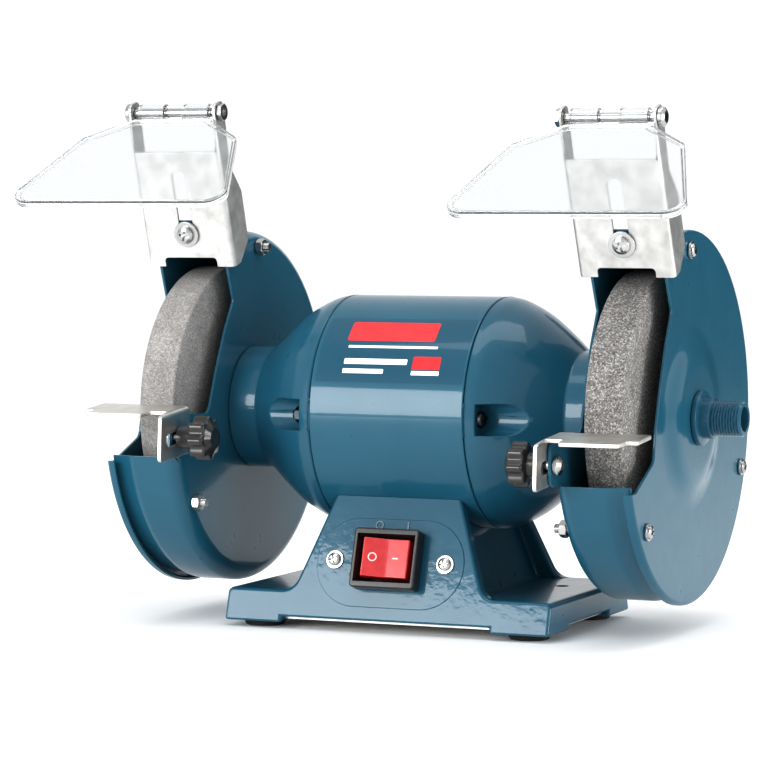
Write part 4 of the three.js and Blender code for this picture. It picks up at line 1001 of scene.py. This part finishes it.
def opening(floor, floor_end, low, high):
    end = -LIP_RADIUS - 30
    return slab("opening", rounded([
        lug_face(2), (-27.5, 56, 3), (-37, 40), (-46, 20), (-53.5, 0), (-57, floor, 5),
        (-84, floor_end), (end, floor_end), (end, LIP_RADIUS + 10), lug_face(40),
    ], 8), low, high, "X")


def bolt_holes():
    return [moved(rod("hole", 2.6, 0, 200, "X", 32), shift(0, y, z)) for y, z in BOLT_PLACES]


# %% Dish and cover
dish = turned("dish", rounded([
    (GUARD_IN, SHAFT_HOLE), (GUARD_IN, GUARD_RADIUS, 8), (GUARD_IN + 26, GUARD_RADIUS, 9),
    (GUARD_IN + 33, GUARD_RADIUS - 3, 9), (GUARD_OUT - SHEET - GAP, GUARD_RADIUS - 3),
    (GUARD_OUT - SHEET - GAP, GUARD_RADIUS - 3 - SHEET),
    (GUARD_IN + 33, GUARD_RADIUS - 3 - SHEET, 8), (GUARD_IN + 26, GUARD_RADIUS - SHEET, 8),
    (GUARD_IN + SHEET, GUARD_RADIUS - SHEET, 6.5), (GUARD_IN + SHEET, SHAFT_HOLE),
], 9), 180)
cut(dish, opening(-3, -3, 0, GUARD_IN + SHEET + 2), opening(-22, -25, GUARD_IN + SHEET, 200))
tab_front = -GUARD_RADIUS - 4.2
tab = slab("tab", rounded([
    (tab_front, -3, 5), (tab_front, -25, 5), (tab_front + 30, -25), (tab_front + 30, -3),
], 8), GUARD_IN, GUARD_IN + SHEET, "X")
lug = block("lug", (26, 19, SHEET), (0, 15.5, -1.5 * SHEET - GAP))
join(dish, tab, moved(lug, ON_PLATE))
clamp_hole = moved(rod("hole", 3.4, 0, 200, "X", 32), shift(0, CLAMP_Y, CLAMP_Z))
screw_hole = moved(rod("hole", 2.7, -20, 20, steps=32), ON_PLATE @ shift(0, 18.3))
cut(dish, *bolt_holes(), clamp_hole, screw_hole)
soften(dish, 0.3, 2)


def cover_shape(hole):
    out = GUARD_OUT
    rise = 4
    cover = turned("cover", rounded([
        (out - SHEET + rise, hole), (out + rise, hole), (out + rise, 30, 34), (out, 42, 34),
        (out, LIP_RADIUS, 3), (out - 4.5, LIP_RADIUS), (out - 4.5, LIP_RADIUS - SHEET),
        (out - SHEET, LIP_RADIUS - SHEET, 1.5), (out - SHEET, 42, 33), (out - SHEET + rise, 30, 33),
    ], 8), 180)
    cut(cover, opening(-16, -28, 0, 200), *bolt_holes())
    return soften(cover, 0.3, 2)


for name, side in SIDES:
    for shape, node in ((copy_of(dish, "dish"), "guard"),
                        (cover_shape(9 if side > 0 else 0), "guard_cover")):
        for_side(shape, side)
        finish(shape, f"pressed_{node}_{name}", "frame", SHEET_ENAMEL,
               f"{node}_{name}")
bpy.data.objects.remove(dish)
print("guard", round(2 * GUARD_RADIUS, 1), "mm across")

# %% Guard bolts and shaft outlet
across = GUARD_OUT - GUARD_IN + 2 * GAP
bolt = pan_screw(3.4, 1.7, 4.4, 1.2, 2.2, across + 2)
join(bolt, moved(nut(4.6, 4, 2.1), shift(z=-across - 4)), stud(2.3, -across - 7, -across + 1))
for name, side in SIDES:
    for i, (y, z) in enumerate(BOLT_PLACES):
        twin = copy_of(bolt, "bolt")
        moved(twin, shift(GUARD_OUT + GAP, y, z) @ turn("Y", math.pi / 2))
        for_side(twin, side)
        finish(twin, f"through_bolt_{name}_{i + 1}", "frame", ZINC_SCREW,
               f"guard_bolt_{name}_{i + 1}")
bpy.data.objects.remove(bolt)

outlet_start = GUARD_OUT + 4 + GAP
tip = outlet_start + 24
pitch = 1.5
crest, root_depth = 9.2, 0.8
count = 84
ridges = [(outlet_start + 8.2 + (tip - 1.2 - outlet_start - 8.2) * k / count, crest)
          for k in range(count + 1)]
helix = thread(pitch, root_depth)
outlet = turned("outlet", [
    (outlet_start, 6.2), (outlet_start, 13.8), (outlet_start + 0.3, 14), (outlet_start + 2.2, 14),
    (outlet_start + 2.6, 13.6), (outlet_start + 3, 10.4), (outlet_start + 7.6, 10.4),
    (outlet_start + 8, 10), *ridges, (tip, crest - 1), (tip, 6.5), (tip - 0.4, 6.2),
], 96, lambda along, radius, angle: helix(along, radius, angle) if radius == crest else radius)
moved(outlet, AT_SPINDLE)
finish(outlet, "threaded_outlet", "frame", CAST_ENAMEL, "shaft_outlet")

# %% [markdown]
# ## Spindle, wheels and flanges
# The wheels are held on the spindle between dished steel flanges. The left one is fine and the
# right one coarse. A wheel's arrises are dressed off so they don't crumble.

# %% Wheels and what holds them
SEAT = WHEEL_OUT + 3 + GAP
for name, side in SIDES:
    wheel = turned("wheel", rounded([
        (WHEEL_IN, 6.5), (WHEEL_IN, WHEEL_RADIUS, 1.2), (WHEEL_OUT, WHEEL_RADIUS, 1.2),
        (WHEEL_OUT, 6.5),
    ], 5), 192)
    inner = turned("inner", rounded([
        (WHEEL_IN - 5.3, 6.5), (WHEEL_IN - 5.3, 14, 1), (WHEEL_IN - 2.6, 25, 0.8),
        (WHEEL_IN - GAP, 25, 0.3), (WHEEL_IN - GAP, 6.5),
    ], 4), 96)
    outer = turned("outer", rounded([
        (WHEEL_OUT + GAP, 6.5), (WHEEL_OUT + GAP, 25, 0.3), (WHEEL_OUT + 1.6, 25, 0.6),
        (WHEEL_OUT + 3, 14, 1), (WHEEL_OUT + 3, 6.5),
    ], 4), 96)
    hexagon = moved(nut(11, 7, 6.5), shift(SEAT) @ turn("Y", math.pi / 2))
    stone = FINE_STONE if side < 0 else COARSE_STONE
    grade = "fine_stone" if side < 0 else "coarse_stone"
    for shape, title, look, slot, node in (
        (wheel, "abrasive_wheel", stone, grade, "wheel"),
        (inner, "motor_side_flange", ZINC_SCREW, "zinc_plate", "inner_flange"),
        (outer, "cover_side_flange", ZINC_SCREW, "zinc_plate", "outer_flange"),
        (hexagon, "hexagon_nut", ZINC_SCREW, "bright_steel", "spindle_nut"),
    ):
        for_side(shape, side, on_guard=False)
        finish(shape, f"{title}_{name}", "spindle", look, f"{node}_{name}")
print("wheels", round(2 * WHEEL_RADIUS, 1), "x", round(WHEEL_OUT - WHEEL_IN, 1), "mm")

# %% [markdown]
# ## Spark brackets
# A bracket is one strip of zinc plated sheet, folded to a channel. Its front carries the slot
# for its screw and a notch over the wheel, and two ears hold the shield's hinge bolt. It is
# drawn with X across, Y up the plate and Z out of its front.

# %% Folded brackets
HALF = (GUARD_OUT - GUARD_IN) / 2 + 5.1
PLATE_LENGTH = 62
HINGE_FORWARD, HINGE_RISE = 20.5, 80.3
HINGE_Y, HINGE_Z = PLATE_Y - HINGE_FORWARD, PLATE_Z + HINGE_RISE
HINGE_UP = HINGE_FORWARD * math.sin(PLATE_LEAN) + HINGE_RISE * math.cos(PLATE_LEAN)
HINGE_OUT = HINGE_FORWARD * math.cos(PLATE_LEAN) - HINGE_RISE * math.sin(PLATE_LEAN)
EAR = 5.5
SCREW_UP = 18.3
bracket = slab("bracket", rounded([
    (-HALF, -25), (-HALF, 0, 2.6), (HALF, 0, 2.6), (HALF, -25),
    (HALF - SHEET, -25), (HALF - SHEET, -SHEET, 1.1), (SHEET - HALF, -SHEET, 1.1),
    (SHEET - HALF, -25),
], 7), 0, 95, "Y")
side_view = [
    (-SHEET, 0), (-8, 0, 3), (-20, 9, 5), (-20, 36, 5), (-SHEET - 10, PLATE_LENGTH - 10, 5),
    (HINGE_OUT - EAR, HINGE_UP - 2), (HINGE_OUT - EAR, HINGE_UP + EAR, EAR),
    (HINGE_OUT + EAR, HINGE_UP + EAR, EAR), (HINGE_OUT + EAR, HINGE_UP - 2),
    (0.01, PLATE_LENGTH, 2), (0.01, 0),
]
meet(bracket, slab("side", [(up, out) for out, up in rounded(side_view, 9)], -50, 50, "X"))
cut(bracket,
    block("gap", (2 * (HALF - SHEET), 60, 60), (0, PLATE_LENGTH + 30, 0)),
    slab("slot", rounded([
        (-4, SCREW_UP - 2.7, 1), (4, SCREW_UP - 2.7, 1), (4, SCREW_UP + 34, 4),
        (-4, SCREW_UP + 34, 4),
    ], 12), -5, 5),
    slab("notch", rounded([
        (-15.25, -9), (15.25, -9), (15.25, 5, 2), (-15.25, 5, 2),
    ], 7), -5, 5),
    moved(rod("eye", 2.7, -40, 40, "X", 32), shift(0, HINGE_UP, HINGE_OUT)))
soften(bracket, 0.28, 2)

screw = pan_screw(4.6, 2.4, 7, 1.2, 2.3, 8)
join(screw, moved(nut(4.6, 3.5, 2.2), shift(z=-7.4)))
moved(screw, shift(0, SCREW_UP, GAP))
hinge_half = HALF + GAP
hinge = pan_screw(5, 3.2, 0, 0, 2.3, 2 * hinge_half + 1)
join(hinge, moved(nut(4.8, 2.5, 2.2), shift(z=-2 * hinge_half - 2.5)))
moved(hinge, shift(hinge_half, HINGE_UP, HINGE_OUT) @ turn("Y", math.pi / 2))
for name, side in SIDES:
    for shape, title, body, look, node in (
        (bracket, "folded_bracket", f"spark_bracket_{name}", ZINC_SHEET, "spark_bracket"),
        (screw, "bracket_cross_screw", "frame", ZINC_SCREW, "bracket_screw"),
        (hinge, "hinge_pin", f"spark_bracket_{name}", ZINC_SCREW, "hinge_bolt"),
    ):
        twin = moved(copy_of(shape, node), ON_PLATE)
        for_side(twin, side)
        finish(twin, f"{title}_{name}", body, look, f"{node}_{name}")
for shape in (bracket, screw, hinge):
    bpy.data.objects.remove(shape)
print("bracket", round(2 * HALF, 1), "mm wide; hinge", round(HINGE_UP, 1), "mm up it")

# %% [markdown]
# ## Eye shields
# A shield is a shallow clear tray that widens away from its hinge, with two knuckles on the
# hinge bolt. It is drawn with X across, Y down its slope and Z out of its top, and placed at the
# same slope to the bench on both sides.

# %% Clear shields


def tray_outline(inset):
    return rounded([
        (-22 + inset, 6 + inset), (22 - inset, 6 + inset), (45 - inset, 24, 5),
        (63.5 - inset, 84 - inset, 9), (-63.5 + inset, 84 - inset, 9), (-45 + inset, 24, 5),
    ], 10)


tray = slab("tray", tray_outline(0), -4, 0)
cut(tray, slab("hollow", tray_outline(2), -5, -2))
soften(tray, 0.5, 3)
for way in (1, -1):
    barrel = rod("barrel", 4.6, min(way * 5.5, way * 20.5), max(way * 5.5, way * 20.5), "X", 48)
    soften(barrel, 0.4, 2)
    join(tray, barrel, block("web", (14.6, 8.6, 1.8), (way * 13, 4.3, -1)))
cut(tray, rod("bore", 2.7, -50, 50, "X", 32))
for name, side in SIDES:
    slope = math.radians(33) - side * GUARD_TILT
    c, s = math.cos(slope), math.sin(slope)
    place = shift(WHEEL_MIDDLE, HINGE_Y, HINGE_Z) @ Matrix(
        ((1, 0, 0, 0), (0, -c, -s, 0), (0, -s, c, 0), (0, 0, 0, 1)))
    twin = moved(copy_of(tray, "tray"), place)
    for_side(twin, side)
    finish(twin, f"clear_tray_{name}", f"eye_shield_{name}", CLEAR_PLASTIC,
           f"eye_shield_{name}")
bpy.data.objects.remove(tray)

# %% [markdown]
# ## Tool rests
# A rest is a strip folded to an angle. Its flat runs past the wheel's front with a shallow
# recess for the rim, and its other leg has a slot for the clamp bolt. A fluted knob with a
# domed end holds it. Each rest leans forward about its clamp bolt.

# %% Rests, clamp bolts and knobs
REST_IN = GUARD_IN - GAP - 2
FRONT, REAR = -WHEEL_RADIUS - 35.4, -WHEEL_RADIUS - 4
BACK, EDGE = FRONT + 10, -WHEEL_RADIUS - 5
rest = slab("rest", rounded([
    (REST_IN, -30), (REST_IN, 0, 2.8), (REST_IN + 52, 0), (REST_IN + 52, -2),
    (REST_IN + 2, -2, 0.9), (REST_IN + 2, -30),
], 7), FRONT - 6, REAR + 1, "Y")
keep = slab("flat", rounded([
    (REST_IN + 2.4, BACK), (REST_IN + 11.7, BACK, 1), (REST_IN + 12.7, FRONT, 1.5),
    (REST_IN + 43.4, FRONT, 1.5), (REST_IN + 44.4, BACK, 1), (REST_IN + 50, BACK, 1),
    (REST_IN + 50, REAR, 2), (WHEEL_OUT + 3, REAR, 1), (WHEEL_OUT + 2.5, EDGE, 1),
    (WHEEL_IN - 2.5, EDGE, 1), (WHEEL_IN - 3, REAR, 1), (REST_IN + 2.4, REAR),
], 6), -2.5, 1)
leg = slab("leg", rounded([
    (BACK, 1), (BACK, 0), (FRONT, -1.5, 2), (FRONT - 3.5, -24.4, 2), (REAR - 1, -24.4, 3),
    (REAR, 0), (REAR, 1),
], 7), REST_IN - 1, REST_IN + 2.5, "X")
meet(rest, join(keep, leg))
cut(rest, slab("slot", rounded([
    (CLAMP_Y - 14, CLAMP_Z - 3.4, 3.3), (CLAMP_Y + 8, CLAMP_Z - 3.4, 3.3),
    (CLAMP_Y + 8, CLAMP_Z + 3.4, 3.3), (CLAMP_Y - 14, CLAMP_Z + 3.4, 3.3),
], 9), REST_IN - 5, REST_IN + 5, "X"))
soften(rest, 0.35, 3)

inside = GUARD_IN + SHEET + GAP
clamp = turned("clamp", rounded([
    (GUARD_IN - 3, 0), (GUARD_IN - 3, 2.9), (inside, 2.9), (inside, 5, 0.3),
    (inside + 2, 5, 1.2), (inside + 4, 2.4, 1.5), (inside + 4, 0),
], 5), 48)
join(clamp, moved(stud(2.9, GUARD_IN - 19, GUARD_IN - 2.9, 1.0), turn("Y", math.pi / 2)))
hub = REST_IN - GAP
knob = turned("knob", rounded([
    (hub - 21, 0), (hub - 20.6, 5, 3), (hub - 18.4, 9, 1.5), (hub - 17.6, 11.5, 1.6),
    (hub - 9.4, 11.5, 1.2), (hub - 9, 9.5, 0.8), (hub - 8.6, 6, 0.8), (hub, 5.6, 0.6),
    (hub, 3.2), (hub - 17.5, 3.2), (hub - 17.5, 0),
], 6), 192, lambda along, radius, angle: radius - 1.1 * (1 - math.cos(8 * angle)) * min(
    1, max(0, (radius - 7.5) / 4)))
for name, side in SIDES:
    lowered = math.radians(5) - side * GUARD_TILT
    lean = shift(0, CLAMP_Y, CLAMP_Z) @ turn("X", lowered)
    for shape, title, body, look, slot, node in (
        # The rest's zinc look carries a painted warm reflection in its colour.
        (rest, "folded_rest", f"tool_rest_{name}", ZINC_WITH_PAINTED_WARM_REFLECTION, "zinc_plate", "tool_rest"),
        (clamp, "dome_bolt", f"rest_clamp_{name}", ZINC_SCREW, "zinc_plate", "clamp_bolt"),
        (knob, "fluted_knob", f"clamp_knob_{name}", KNOB_PLASTIC, "black_plastic", "clamp_knob"),
    ):
        twin = copy_of(shape, node)
        moved(twin, lean @ shift(0, -CLAMP_Y, -CLAMP_Z) if shape is rest else lean)
        for_side(twin, side)
        finish(twin, f"{title}_{name}", body, look, f"{node}_{name}")
for shape in (rest, clamp, knob):
    bpy.data.objects.remove(shape)

# %% [markdown]
# ## Inside the motor
# The solids nobody sees at rest are kept as packed, and only get the material they are made of.

# %% Materials for the kept solids
INSIDE = {
    "bottom_plate": ZINC_SHEET, "capacitor": CAN, "stator_core": LAMINATION,
    "stator_winding": WINDING, "rotor": LAMINATION, "shaft": TURNED_STEEL,
    "bearing_outer_left": TURNED_STEEL, "bearing_outer_right": TURNED_STEEL,
    "bearing_inner_left": TURNED_STEEL, "bearing_inner_right": TURNED_STEEL,
}
for node, look in INSIDE.items():
    solid = bpy.data.objects[node]
    solid.data.materials.clear()
    solid.data.materials.append(look)
print(len(made), "pieces made,", len(INSIDE), "solids kept")

# %% [markdown]
# ## Floor and light
# A pale floor under a white surround, which is how small machines are shown. The surround gives
# the enamel its even mid tone. A soft box stands low at the front left and draws the bright
# band along the motor, a wide one overhead lights the tops, and one on the right lights the right
# cover. Rays mirror about the motor's front, so the first stands as far left as the camera stands
# right. A dark card behind and to the right is seen only in gloss. It darkens what the upper part
# of the left disc mirrors; the lower part still mirrors the pale floor and stays greyer.

# %% Studio
paper, tree, shader, mm = material("pale_paper", Roughness=0.9)
clouds = add(tree, "ShaderNodeTexNoise", {"Vector": mm, "Scale": 1 / 400})
feed(tree, shader, {"Base Color": stops(
    add(tree, "ShaderNodeValToRGB", {0: clouds}), (0.3, "#fdfdfd"), (0.7, "#ffffff"))})
floor = block("floor", (16000, 16000, 10), (0, 0, -5.2))
floor.data.materials.append(paper)
floor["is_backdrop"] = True


def softbox(name, place, target, width, height, power):
    lamp = bpy.data.lights.new(name, "AREA")
    lamp.shape, lamp.size, lamp.size_y, lamp.energy = "RECTANGLE", width, height, power
    box = bpy.data.objects.new(name, lamp)
    scene.collection.objects.link(box)
    box.location = place
    box.rotation_mode = "QUATERNION"
    box.rotation_quaternion = (Vector(target) - Vector(place)).to_track_quat("-Z", "Y")


softbox("front_left", (-0.75, -1.5, 0.42), (0, 0, 0.14), 0.8, 0.7, 20)
softbox("overhead", (0.1, -0.1, 1.3), (0, 0, 0.12), 1.4, 0.5, 6)
softbox("right", (1.7, 0.0, 0.3), (0.1, 0, 0.12), 0.6, 0.5, 12)
dark_card = block("dark_card", (1000, 10, 800), (480, 1390, 400))
card, tree, shader, mm = material("dark_card", Roughness=1.0)
feed(tree, shader, {"Base Color": colour("#15262e")})
dark_card.data.materials.append(card)
dark_card.visible_camera = False
dark_card.visible_diffuse = False
dark_card.visible_shadow = False
dark_card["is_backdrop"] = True
world = bpy.data.worlds.new("studio")
world.use_nodes = True
world.node_tree.nodes["Background"].inputs["Color"].default_value = colour("#ffffff")
world.node_tree.nodes["Background"].inputs["Strength"].default_value = 1.05
scene.world = world
scene.view_settings.view_transform = "Standard"
scene.view_settings.gamma = 0.82

# %% [markdown]
# ## Size
# The box round every shown solid is measured, without the floor and the dark card.

# %% Measure the size
low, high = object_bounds()
